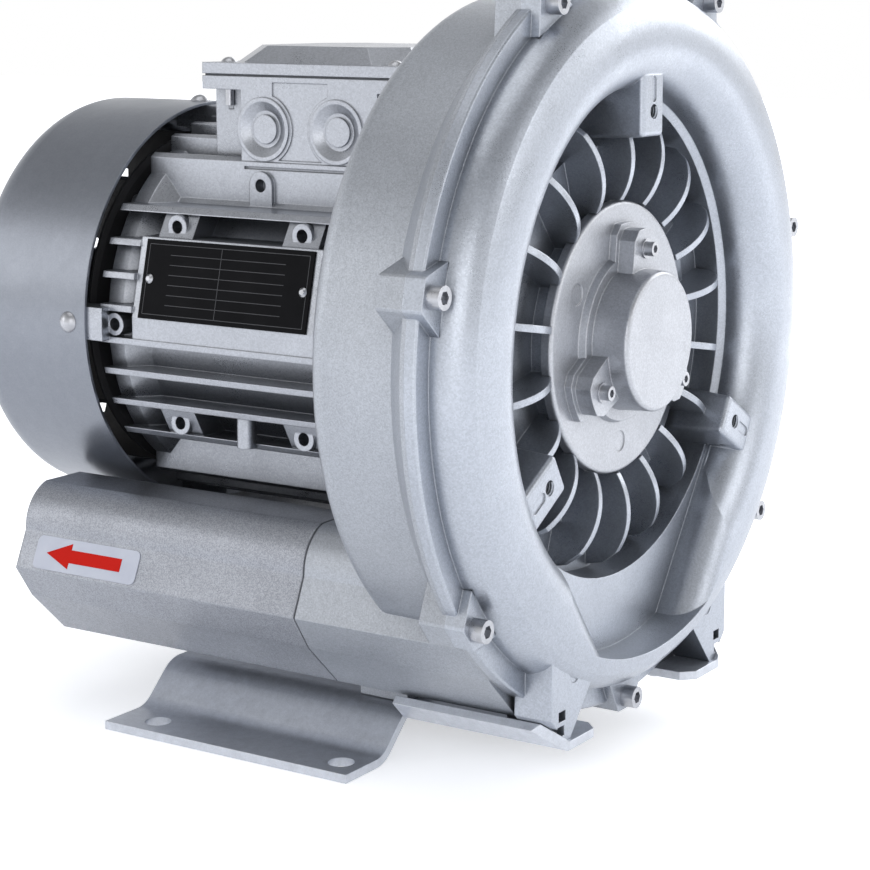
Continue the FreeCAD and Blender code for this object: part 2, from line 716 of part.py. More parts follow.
def nose_tool():
    """Tool that rounds the end of the ring along the recess, on the -X side."""
    top, foot = sector_outline(0)[:2]
    start = Vector(top[0], RIM_Y, AXIS_Z + top[1])
    along = Vector(foot[0] - top[0], 0, foot[1] - top[1])
    outward = Vector(along.z, 0, -along.x).normalize()
    front = -RING_APEX
    outline = [
        (-2, front - 8),
        (-2, front + NOSE_R),
        (0, front + NOSE_R),
        ((NOSE_R * BEND, front + NOSE_R * BEND), (NOSE_R, front)),
        (NOSE_R + 4, front),
        (NOSE_R + 4, front - 8),
    ]
    wire = closed_wire(outline, lambda s, y: start + outward * s + ALONG_Y * y)
    tool = Part.Face(wire).extrude(along * 1.2)
    return tool.common(ring(SECTOR_R, 0, front - 9, SEAM))


def leg_windows():
    """Two small blind windows and a round pin mark in the front of a leg."""
    front = -LEG_FRONT - 1
    x = -LEG_TIP_X - 1
    return [
        block(x - 5, x + 1, front, front + 5, LEG_TIP_Z + 9.5, LEG_TIP_Z + 14),
        block(x - 6, x, front, front + 5, LEG_TIP_Z + 3, LEG_TIP_Z + 7.5),
        rod(9.0, Vector(-LEG_IN_X - 19, RIM_Y + front, AXIS_Z + LEG_TIP_Z + 28.5), ALONG_Y, 1.4),
    ]


def arm():
    """Bracket arm at the top of the dish, drafted and with rounded edges."""
    body = Part.makeWedge(
        -ARM_W / 2, RIM_Y - ARM_FACE, AXIS_Z + ARM_IN_R, AXIS_Z + ARM_IN_R - 1.5, -ARM_W / 2 - ARM_DRAFT,
        ARM_W / 2, RIM_Y + DISH_FLOOR + 1, AXIS_Z + ARM_OUT_R, AXIS_Z + DISH_R + 1, ARM_W / 2 + ARM_DRAFT)
    front_edges = []
    for edge in body.Edges:
        if edge.BoundBox.YMin < RIM_Y - ARM_FACE + 0.1:
            front_edges.append(edge)
    return body.makeFillet(ARM_ROUND, front_edges)


def arm_mark():
    """Oblong pin mark in the face of an arm, outside its hole."""
    side = 2.3
    inner = ARM_HOLE_R + 6.5
    outer = ARM_OUT_R - 5.5
    outline = [
        (-side, inner),
        (-side, outer),
        ((0, outer + side), (side, outer)),
        (side, inner),
        ((0, inner - side), (-side, inner)),
    ]
    return prism(outline, -ARM_FACE - 1, -ARM_FACE + 0.6)


# Rear casing

def casing_lug():
    """Tapped lug behind the rim of the casing, at the top."""
    outline = [
        (-LUG_ROOT_W / 2 - LUG_SPREAD / 2, DRUM_R - 2),
        (-LUG_W / 2, LUG_R - 1),
        (-LUG_W / 2 + 1, LUG_R),
        (LUG_W / 2 - 1, LUG_R),
        (LUG_W / 2, LUG_R - 1),
        (LUG_ROOT_W / 2 + LUG_SPREAD / 2, DRUM_R - 2),
    ]
    return prism(outline, SEAM, LUG_BACK)


def rear_casing():
    shell_back = HUB_POCKET_BACK + SEAL_LIP + SEAL_T
    outside = turned([
        (SEAL_R - 5, SEAM),
        (FLANGE_R, SEAM),
        (FLANGE_R, CASING_FLANGE_BACK),
        (DRUM_R + 0.8, DRUM_FRONT),
        (DRUM_R, DRUM_BACK - DRUM_ROUND),
        ((DRUM_R - DRUM_ROUND * BEND, DRUM_BACK - DRUM_ROUND * BEND), (DRUM_R - DRUM_ROUND, DRUM_BACK)),
        (ANNULUS_OUT_R + 1, DRUM_BACK),
        (ANNULUS_OUT_R, WEB_WALL_BACK),
        (ANNULUS_IN_R, WEB_WALL_BACK),
        (ANNULUS_IN_R - 1, ADAPTER_BACK),
        (STATOR_BORE_R, ADAPTER_BACK),
        (STATOR_BORE_R, ADAPTER_BACK + SPIGOT_LENGTH),
        (STATOR_BORE_R - SPIGOT_WALL, ADAPTER_BACK + SPIGOT_LENGTH),
        (STATOR_BORE_R - SPIGOT_WALL, WEB_WALL_BACK),
        (HUB_SHELL_R + 2, WEB_WALL_BACK),
        (HUB_SHELL_R, shell_back),
        (SEAL_R - 5, shell_back),
    ])
    pieces = []
    rear_leg = leg(SEAM, LEG_BACK, LEG_TIP_Z + 1, LEG_IN_X + 1)
    rear_leg = rear_leg.cut(block(-LEG_OUT_X - 1, -REAR_LEG_X, SEAM - 1, LEG_BACK + 1, LEG_TIP_Z - 1, LEG_TOP_Z + 1))
    pad = Part.makeBox(FOOT_BLOCK_W, FOOT_BLOCK_L, AXIS_Z + DUCT_BOTTOM + 1 - FOOT_TOP,
                       Vector(-FOOT_SCREW_X - FOOT_BLOCK_W / 2, FOOT_SCREW_BACK_Y - FOOT_BLOCK_L / 2, FOOT_TOP))
    for side in (duct_solid(DUCT_FRONT, DUCT_BACK, 0), rear_leg, pad):
        side = side.cut(ring(DRUM_R - 12, 0, -1, DRUM_BACK))
        pieces.append(side)
        pieces.append(mirrored(side))
    for angle in ring_angles():
        pieces.append(spun(casing_lug(), angle))
    body = outside.fuse(pieces)
    chamber = turned([
        (0, -1),
        (CHANNEL_OUT_R, -1),
        (CHANNEL_OUT_R, DRUM_BACK - CHANNEL_WALL - CHANNEL_ROUND),
        ((CHANNEL_OUT_R - BEND * CHANNEL_ROUND, DRUM_BACK - CHANNEL_WALL - BEND * CHANNEL_ROUND),
         (CHANNEL_OUT_R - CHANNEL_ROUND, DRUM_BACK - CHANNEL_WALL)),
        (CHANNEL_IN_R + CHANNEL_ROUND, DRUM_BACK - CHANNEL_WALL),
        ((CHANNEL_IN_R + BEND * CHANNEL_ROUND, DRUM_BACK - CHANNEL_WALL - BEND * CHANNEL_ROUND),
         (CHANNEL_IN_R, DRUM_BACK - CHANNEL_WALL - CHANNEL_ROUND)),
        (CHANNEL_IN_R, WEB_WALL_FRONT),
        (HUB_POCKET_R, WEB_WALL_FRONT),
        (HUB_POCKET_R, HUB_POCKET_BACK),
        (0, HUB_POCKET_BACK),
    ])
    stripper = prism(sector_outline(SECTOR_WALL), STRIPPER_FACE, DRUM_BACK)
    kept = stripper.common(ring(DRUM_R, CHANNEL_IN_R, STRIPPER_FACE, DRUM_BACK))
    swept = ring(IMPELLER_R + BLADE_GAP, 0, STRIPPER_FACE, BLADE_FRONT + IMPELLER_RING_W + BLADE_GAP)
    swept = swept.cut(ring(CHANNEL_IN_R, 0, WEB_WALL_FRONT, DRUM_BACK))
    body = body.cut(chamber.cut(kept))
    body = body.cut(swept)
    passages = []
    hollow = duct_solid(DRUM_BACK - CHANNEL_WALL - 14, DUCT_BACK + 1, DUCT_WALL)
    hollow = hollow.cut(prism(sector_outline(SECTOR_WALL), 0, DRUM_BACK))
    passages.append(hollow)
    passages.append(mirrored(hollow))
    passages.append(ring(SEAL_R, 0, HUB_POCKET_BACK + SEAL_LIP, shell_back + 1))
    passages.append(ring(SEAL_SHAFT_R + 3, 0, HUB_POCKET_BACK - 1, shell_back + 1))
    passages.append(ring(GASKET_R + GASKET_W / 2, GASKET_R - GASKET_W / 2, SEAM - 0.5, SEAM + GASKET_T))
    for angle in ring_angles():
        passages.append(rod(RING_SCREW_D, place_at(BOLT_R, angle, SEAM - 1), ALONG_Y, RING_SCREW_LENGTH - LUG_SEAT - SEAM + 2))
    for x, z in SILENCER_SCREW_PLACES:
        start = Vector(-x, RIM_Y + DUCT_BACK - SILENCER_SCREW_GRIP, AXIS_Z + z)
        passages.append(rod(SILENCER_SCREW_D, start, ALONG_Y, SILENCER_SCREW_GRIP + 1))
        passages.append(mirrored(passages[-1]))
    for index in range(MOTOR_SCREWS):
        start = place_at(MOTOR_SCREW_R, 45 + index * 360 / MOTOR_SCREWS, ADAPTER_BACK - 14)
        passages.append(rod(MOTOR_SCREW_D, start, ALONG_Y, 16))
    for sign in (-1, 1):
        for y in (FOOT_SCREW_FRONT_Y, FOOT_SCREW_BACK_Y):
            start = Vector(sign * FOOT_SCREW_X, y, FOOT_TOP - 1)
            passages.append(rod(FOOT_SCREW_D, start, Vector(0, 0, 1), FOOT_SCREW_GRIP + 1))
    return body.cut(passages)


# Bearing cap with its cup and three bosses

def cap_boss(grow, front):
    """Boss or its foot at the top of the cap, with bevelled outer corners."""
    side = CAP_BOSS_W / 2 + grow
    outer = CAP_BOSS_OUT_R + grow
    outline = [
        (-side - 1, CAP_BOSS_IN_R),
        (-side, outer - 5.5),
        (-side + 3.5, outer - 0.9),
        ((0, outer), (side - 3.5, outer - 0.9)),
        (side, outer - 5.5),
        (side + 1, CAP_BOSS_IN_R),
    ]
    return prism(outline, front, HUB_FACE)


def bearing_cap():
    body = turned([
        (0, -CUP_FRONT),
        (CUP_R - 2, -CUP_FRONT),
        ((CUP_R - 0.6, -CUP_FRONT + 0.6), (CUP_R, -CUP_FRONT + 2)),
        (CUP_R + 0.8, -CUP_STEP),
        (CUP_STEP_R, -CUP_STEP),
        (CUP_STEP_R + 1, -CAP_FRONT),
        (CAP_R - CAP_ROUND, -CAP_FRONT),
        ((CAP_R - CAP_ROUND * BEND, -CAP_FRONT + CAP_ROUND * BEND), (CAP_R, -CAP_FRONT + CAP_ROUND)),
        (CAP_R, HUB_FACE),
        (CUP_R - 9, HUB_FACE),
        (CUP_R - 10, -CUP_FRONT + CAP_WALL),
        (0, -CUP_FRONT + CAP_WALL),
    ])
    boss = cap_boss(0, -CAP_BOSS_FRONT).fuse(cap_boss(CAP_BOSS_STEP, -CUP_STEP))
    boss = boss.cut(ring(CUP_R - 1, 0, -CUP_FRONT, HUB_FACE + 1))
    bosses = [spun(boss, angle) for angle in CAP_SCREW_ANGLES]
    holes = []
    for radius, angle in CAP_PIN_MARKS:
        holes.append(rod(9.5, place_at(radius, angle, -CAP_FRONT - 1), ALONG_Y, 1.5))
    for angle in CAP_SCREW_ANGLES:
        holes.append(rod(CAP_SCREW_D + 0.5, place_at(CAP_BOSS_R, angle, -CUP_FRONT), ALONG_Y, 40))
    return body.fuse(bosses).cut(holes).removeSplitter()


# Feet

def left_foot():
    top = FOOT_TOP - FOOT_T / 2
    low = FOOT_T / 2
    pad = strip_prism(
        [(-FOOT_IN_X, top), (-FOOT_BEND_X, top), (-FOOT_TOE_X, low), (-FOOT_OUT_X, low)],
        FOOT_BEND_R, FOOT_T, FOOT_PAD_FRONT - RIM_Y, FOOT_PAD_BACK - RIM_Y)
    slope = math.atan2(LEG_CHAMFER_Z + AXIS_Z - FOOT_TOP, LEG_OUT_X - LEG_TIP_X)
    offset = FOOT_T / 2 + TONGUE_GAP
    bend_x = LEG_TIP_X + (offset - FOOT_T / 2 * math.cos(slope)) / math.sin(slope)
    rise = (TONGUE_EDGE_X - bend_x) * math.tan(slope)
    tongue = strip_prism(
        [(-FOOT_IN_X, top), (-bend_x, top), (-TONGUE_EDGE_X, top + rise)],
        FOOT_T * 0.75, FOOT_T, TONGUE_FRONT - RIM_Y, TONGUE_BACK - RIM_Y)
    corner = Part.makePolygon([
        Vector(-bend_x, TONGUE_FRONT - 1, 0),
        Vector(-TONGUE_EDGE_X - 6, TONGUE_FRONT - 1, 0),
        Vector(-TONGUE_EDGE_X - 6, TONGUE_FRONT + TONGUE_NOTCH + 6, 0),
        Vector(-bend_x, TONGUE_FRONT - 1, 0)])
    tongue = tongue.cut(Part.Face(corner).extrude(Vector(0, 0, 80)))
    bridge = Part.makeBox(FOOT_BEND_X - 6 - FOOT_IN_X, FOOT_PAD_FRONT - TONGUE_BACK, FOOT_T,
                          Vector(-FOOT_BEND_X + 6, TONGUE_BACK, FOOT_TOP - FOOT_T))
    body = pad.fuse([tongue, bridge])
    corner = Part.makePolygon([
        Vector(-FOOT_IN_X + 1, TONGUE_FRONT - 1, 0),
        Vector(-FOOT_IN_X - 7, TONGUE_FRONT - 1, 0),
        Vector(-FOOT_IN_X + 1, TONGUE_FRONT + 7, 0),
        Vector(-FOOT_IN_X + 1, TONGUE_FRONT - 1, 0)])
    holes = [Part.Face(corner).extrude(Vector(0, 0, 80))]
    for y in (-FOOT_HOLE_Y, FOOT_HOLE_Y):
        holes.append(rod(FOOT_HOLE_D, Vector(-FOOT_HOLE_X, y, -1), Vector(0, 0, 1), FOOT_T + 2))
    for y in (FOOT_SCREW_FRONT_Y, FOOT_SCREW_BACK_Y):
        holes.append(rod(FOOT_SCREW_D + 1, Vector(-FOOT_SCREW_X, y, FOOT_TOP - 30), Vector(0, 0, 1), 31))
    return body.cut(holes).removeSplitter()


# Silencer with its threaded port, on the -X side

def silencer():
    front = SILENCER_FRONT
    body = duct_solid(front, SILENCER_BACK, 0)
    port = Vector(-PORT_X, RIM_Y + front, AXIS_Z + PORT_Z)
    hollow = duct_solid(front - 1, SILENCER_BACK - SILENCER_END_WALL, DUCT_WALL)
    keep = []
    for x, z in SILENCER_SCREW_PLACES:
        start = Vector(-x, RIM_Y + front - 1, AXIS_Z + z)
        keep.append(rod(SILENCER_BOSS_D, start, ALONG_Y, SILENCER_BACK - front + 1))
    body = body.cut(hollow.cut(keep))
    collar = rod(PORT_COLLAR_D, Vector(port.x, RIM_Y + SILENCER_BACK, port.z), ALONG_Y, PORT_COLLAR_T)
    body = body.fuse(collar)
    cuts = [rod(PORT_D, port, ALONG_Y, SILENCER_BACK + 30)]
    for x, z in SILENCER_SCREW_PLACES:
        start = Vector(-x, RIM_Y + front - 1, AXIS_Z + z)
        cuts.append(rod(SILENCER_SCREW_D + 0.6, start, ALONG_Y, SILENCER_BACK))
    return body.cut(cuts)


def seam_gasket():
    face = duct_solid(DUCT_BACK, DUCT_BACK + SEAM_GASKET_T, 0.5)
    hollow = duct_solid(DUCT_BACK - 1, DUCT_BACK + 2, DUCT_WALL)
    holes = []
    keep = []
    for x, z in SILENCER_SCREW_PLACES:
        start = Vector(-x, RIM_Y + DUCT_BACK - 1, AXIS_Z + z)
        holes.append(rod(SILENCER_SCREW_D + 0.6, start, ALONG_Y, 4))
        keep.append(rod(SILENCER_BOSS_D, start, ALONG_Y, 4))
    return face.cut(hollow.cut(keep)).cut(holes)


def liner():
    """Foam that lines the silencer round its perforated tube."""
    front = SILENCER_FRONT + 2
    back = SILENCER_BACK - SILENCER_END_WALL - TUBE_T - LINER_GAP
    foam = duct_solid(front, back, DUCT_WALL + LINER_GAP)
    cuts = [rod(TUBE_D + 2 * LINER_GAP, Vector(-PORT_X, RIM_Y + front - 1, AXIS_Z + PORT_Z), ALONG_Y, SILENCER_BACK)]
    for x, z in SILENCER_SCREW_PLACES:
        start = Vector(-x, RIM_Y + front - 1, AXIS_Z + z)
        cuts.append(rod(SILENCER_BOSS_D + 2 * LINER_GAP, start, ALONG_Y, SILENCER_BACK))
    return foam.cut(cuts)


def silencer_tube():
    front = SILENCER_FRONT + 2
    back = SILENCER_BACK - SILENCER_END_WALL
    start = Vector(-PORT_X, RIM_Y + front, AXIS_Z + PORT_Z)
    tube = rod(TUBE_D, start, ALONG_Y, back - front)
    tube = tube.cut(rod(TUBE_D - 2 * TUBE_T, start, ALONG_Y, back - front))
    flare = rod(PORT_D + 1, start + ALONG_Y * (back - front - TUBE_T), ALONG_Y, TUBE_T)
    flare = flare.cut(rod(TUBE_D - 2 * TUBE_T, start, ALONG_Y, back - front))
    return tube.fuse(flare).removeSplitter()


def silencer_screws():
    screws = []
    for x, z in SILENCER_SCREW_PLACES:
        seat = Vector(-x, RIM_Y + SILENCER_BACK, AXIS_Z + z)
        length = SILENCER_BACK - DUCT_BACK + SILENCER_SCREW_GRIP - 1
        screws.append(socket_screw(SILENCER_SCREW_D, length, seat, ALONG_Y * -1))
    return screws


# Impeller with a ring of vanes on both sides of its rib

def impeller():
    web_back = IMPELLER_WEB_FRONT + IMPELLER_WEB_T
    middle = IMPELLER_WEB_FRONT + IMPELLER_WEB_T / 2
    rim_w = IMPELLER_RING_W / 2 - 4
    body = turned([
        (IMPELLER_SEAT_R, IMPELLER_HUB_FRONT),
        (IMPELLER_HUB_R, IMPELLER_HUB_FRONT),
        (HUB_BACK_R + 6, IMPELLER_HUB_FRONT),
        (HUB_BACK_R + 14, IMPELLER_WEB_FRONT),
        (IMPELLER_RIM_R - 0.5, IMPELLER_WEB_FRONT),
        ((IMPELLER_RIM_R + 4, middle - IMPELLER_RIB_T - 2), (IMPELLER_R - 6, middle - IMPELLER_RIB_T / 2)),
        (IMPELLER_R - 6, middle + IMPELLER_RIB_T / 2),
        ((IMPELLER_RIM_R + 4, middle + IMPELLER_RIB_T + 2), (IMPELLER_RIM_R - 0.5, web_back)),
        (IMPELLER_HUB_R + 3.5, web_back),
        (IMPELLER_HUB_R, web_back + 6),
        (IMPELLER_HUB_R, IMPELLER_HUB_BACK),
        (IMPELLER_SEAT_R, IMPELLER_HUB_BACK),
    ])
    outline = [
        (IMPELLER_RIM_R - 1.5, middle - 3.5),
        (IMPELLER_RIM_R + 5, middle - rim_w - 4),
        (IMPELLER_R, middle - rim_w - 4),
        (IMPELLER_R, middle + rim_w + 4),
        (IMPELLER_RIM_R + 5, middle + rim_w + 4),
        (IMPELLER_RIM_R - 1.5, middle + 3.5),
    ]
    wire = closed_wire(outline, lambda r, y: Vector(-IMPELLER_VANE_T / 2, RIM_Y + y, AXIS_Z + r))
    vane = Part.Face(wire).extrude(Vector(IMPELLER_VANE_T, 0, 0))
    vanes = [spun(vane, index * 360 / IMPELLER_VANES) for index in range(IMPELLER_VANES)]
    slot = block(-KEY_W / 2, KEY_W / 2, IMPELLER_HUB_FRONT - 1, IMPELLER_HUB_BACK + 1,
                 IMPELLER_SEAT_R - 1, IMPELLER_SEAT_R + KEY_H / 2)
    return body.fuse(vanes).cut(slot).removeSplitter()


def shaft():
    front = FRONT_BEARING + 0.3
    body = turned([
        (0, front),
        (BEARING_BORE_R - 0.7, front),
        (BEARING_BORE_R, front + 0.7),
        (BEARING_BORE_R, IMPELLER_HUB_FRONT),
        (IMPELLER_SEAT_R, IMPELLER_HUB_FRONT),
        (IMPELLER_SEAT_R, IMPELLER_HUB_BACK),
        (SEAL_SHAFT_R, IMPELLER_HUB_BACK),
        (SEAL_SHAFT_R, ROTOR_SHAFT_FRONT),
        (ROTOR_SHAFT_R, ROTOR_SHAFT_FRONT),
        (ROTOR_SHAFT_R, REAR_BEARING - 3),
        (BEARING_INNER_LAND_R, REAR_BEARING),
        (BEARING_BORE_R, REAR_BEARING),
        (BEARING_BORE_R, REAR_BEARING + BEARING_W + 1),
        (FAN_SEAT_R, REAR_BEARING + BEARING_W + 1),
        (FAN_SEAT_R, SHAFT_BACK),
        (0, SHAFT_BACK),
    ])
    key_front = (IMPELLER_HUB_FRONT + IMPELLER_HUB_BACK - KEY_LENGTH) / 2
    cuts = [
        block(-KEY_W / 2, KEY_W / 2, key_front, key_front + KEY_LENGTH,
              IMPELLER_SEAT_R - KEY_H / 2, IMPELLER_SEAT_R + 1),
        rod(END_BOLT_D, place_at(0, 0, front - 1), ALONG_Y, 21),
        ring(FAN_SEAT_R + 1, FAN_SEAT_R - 1, FAN_HUB_BACK, FAN_HUB_BACK + CLIP_T),
    ]
    return body.cut(cuts)


def key():
    front = (IMPELLER_HUB_FRONT + IMPELLER_HUB_BACK - KEY_LENGTH) / 2
    return block(-KEY_W / 2, KEY_W / 2, front, front + KEY_LENGTH,
                 IMPELLER_SEAT_R - KEY_H / 2, IMPELLER_SEAT_R + KEY_H / 2)


# Ball bearing pieces

def pitch_r():
    return (BEARING_OUTER_LAND_R + BEARING_INNER_LAND_R) / 2


def race_groove(front):
    """Ring of round section that the balls run in, with their play."""
    centre = pitch_r()
    radius = BALL_D / 2 + BALL_PLAY
    middle = front + BEARING_W / 2
    outline = [
        (centre, middle - radius),
        ((centre + radius, middle), (centre, middle + radius)),
        ((centre - radius, middle), (centre, middle - radius)),
    ]
    return turned(outline)


def outer_race(front):
    return ring(BEARING_OUT_R, BEARING_OUTER_LAND_R, front, front + BEARING_W).cut(race_groove(front))


def inner_race(front):
    return ring(BEARING_INNER_LAND_R, BEARING_BORE_R, front, front + BEARING_W).cut(race_groove(front))


def ball_set(front):
    """Balls joined by the cage that carries them."""
    middle = front + BEARING_W / 2
    cage = ring(pitch_r() + CAGE_T, pitch_r() - CAGE_T, middle - CAGE_W / 2, middle + CAGE_W / 2)
    balls = []
    pockets = []
    for index in range(BALL_COUNT):
        angle = index * 360 / BALL_COUNT
        centre = place_at(pitch_r(), angle, middle)
        outward = (centre - place_at(0, 0, middle)).normalize()
        balls.append(Part.makeSphere(BALL_D / 2, centre))
        pockets.append(rod(BALL_D + 2 * BALL_PLAY, centre - outward * 3, outward, 6))
    pocketed = cage.cut(pockets)
    return balls, pocketed


# Motor housing with its fins and terminal box

def fins():
    """Level fins on both sides and upright fins above and below, all ending on one circle."""
    blades = []
    first = -(FIN_PER_SIDE - 1) / 2 * FIN_PITCH
    for index in range(FIN_PER_SIDE):
        level = first + index * FIN_PITCH
        blades.append(block(-FIN_TIP_R, FIN_TIP_R, MOTOR_FRONT, MOTOR_BACK, level - FIN_T / 2, level + FIN_T / 2))
        blades.append(block(level - FIN_T / 2, level + FIN_T / 2, MOTOR_FRONT, MOTOR_BACK, -FIN_TIP_R, FIN_TIP_R))
    comb = blades[0].fuse(blades[1:])
    return comb.common(ring(FIN_TIP_R, CORE_R - 2, MOTOR_FRONT, MOTOR_BACK))


def box_body():
    """Terminal box as a block with its corner notches, and the hollow to cut from it."""
    body = block(-BOX_X, BOX_X, BOX_FRONT, BOX_BACK, BOX_BASE, BOX_TOP)
    notches = []
    for front, back in ((BOX_FRONT - 1, BOX_NOTCH_FRONT), (BOX_NOTCH_BACK, BOX_BACK + 1)):
        notch = block(-BOX_X - 1, -BOX_NOTCH_X, front, back, BOX_BASE + 12, BOX_RIM)
        notches.append(notch)
        notches.append(mirrored(notch))
    cavity = block(-BOX_NOTCH_X + BOX_WALL, BOX_NOTCH_X - BOX_WALL, BOX_FRONT + BOX_WALL, BOX_BACK - BOX_WALL,
                   BOX_FLOOR, BOX_TOP + 1)
    wide = block(-BOX_X + BOX_WALL, BOX_X - BOX_WALL, BOX_NOTCH_FRONT + BOX_WALL, BOX_NOTCH_BACK - BOX_WALL,
                 BOX_FLOOR, BOX_TOP + 1)
    return body.cut(notches), [cavity, wide]


def knockout_places():
    """Centres of the knock-outs, as y."""
    return [RIM_Y + KNOCKOUT_Y - index * KNOCKOUT_PITCH for index in range(2)]


def box_reliefs():
    """Raised rims of the knock-outs and the round-topped boss below them, on both sides of the box."""
    pieces = []
    for sign in (-1, 1):
        inward = Vector(-sign, 0, 0)
        for y in knockout_places():
            start = Vector(sign * (BOX_X + KNOCKOUT_RIM_T), y, AXIS_Z + KNOCKOUT_Z)
            pieces.append(rod(KNOCKOUT_RIM_D, start, inward, 3))
        y = RIM_Y + BOX_BOSS_Y
        start = Vector(sign * (BOX_X + BOX_BOSS_T), y, AXIS_Z + BOX_BOSS_Z)
        pieces.append(rod(BOX_BOSS_W, start, inward, BOX_BOSS_T + 3))
        pieces.append(block(sign * (BOX_X + BOX_BOSS_T), sign * (BOX_X - 3), BOX_BOSS_Y - BOX_BOSS_W / 2,
                            BOX_BOSS_Y + BOX_BOSS_W / 2, BOX_BASE, BOX_BOSS_Z))
    return pieces


def box_features():
    """Knock-out dishes, the panel between them, the groove and the boss hole, cut from the box sides."""
    cuts = []
    for sign in (-1, 1):
        inward = Vector(-sign, 0, 0)
        panel = block(sign * (BOX_X + 1), sign * (BOX_X - PANEL_DEPTH), KNOCKOUT_Y - KNOCKOUT_PITCH + PANEL_IN,
                      KNOCKOUT_Y - PANEL_IN, KNOCKOUT_Z - 14.0, BOX_TOP - 2.5)
        for y in knockout_places():
            start = Vector(sign * (BOX_X + KNOCKOUT_RIM_T), y, AXIS_Z + KNOCKOUT_Z)
            dish = Part.makeCone(KNOCKOUT_D / 2, KNOCKOUT_FLOOR_D / 2, KNOCKOUT_DEPTH, start, inward)
            disc = rod(KNOCKOUT_DISC_D, start + inward * KNOCKOUT_DISC_T, inward, KNOCKOUT_DEPTH)
            cuts.append(dish.cut(disc))
            panel = panel.cut(rod(KNOCKOUT_RIM_D + 3, start - inward, inward, 6))
        cuts.append(panel)
        cuts.append(block(sign * (BOX_X + 1), sign * (BOX_X - 0.8), BOX_NOTCH_FRONT + 8, BOX_NOTCH_BACK - 2,
                          KNOCKOUT_Z - 18.6, KNOCKOUT_Z - 17.4))
        start = Vector(sign * (BOX_X + BOX_BOSS_T + 1), RIM_Y + BOX_BOSS_Y, AXIS_Z + BOX_BOSS_Z)
        cuts.append(rod(BOX_BOSS_HOLE_D, start, inward, 7))
    return cuts


def fin_boss(distance):
    """Web between two upper fins on the -X side, with a round boss."""
    low = FIN_BOSS_Z - FIN_PITCH / 2
    high = FIN_BOSS_Z + FIN_PITCH / 2
    low_x = math.sqrt(FIN_TIP_R ** 2 - low ** 2) - 1.5
    high_x = math.sqrt(FIN_TIP_R ** 2 - high ** 2) - 1.5
    web = prism([(-high_x + 22, low), (-low_x, low), (-high_x, high), (-high_x + 22, high)],
                distance - FIN_BOSS_W / 2, distance + FIN_BOSS_W / 2)
    middle_x = (low_x + high_x) / 2
    boss = rod(FIN_BOSS_D, Vector(-middle_x - 1.5, RIM_Y + distance, AXIS_Z + FIN_BOSS_Z), Vector(1, 0, 0), 12)
    return web.fuse(boss).cut(ring(CORE_R - 2, 0, distance - 20, distance + 20))


def upside_down(shape):
    """Copy on the other side of the level plane through the axis."""
    return shape.mirror(AXIS, Vector(0, 0, 1))


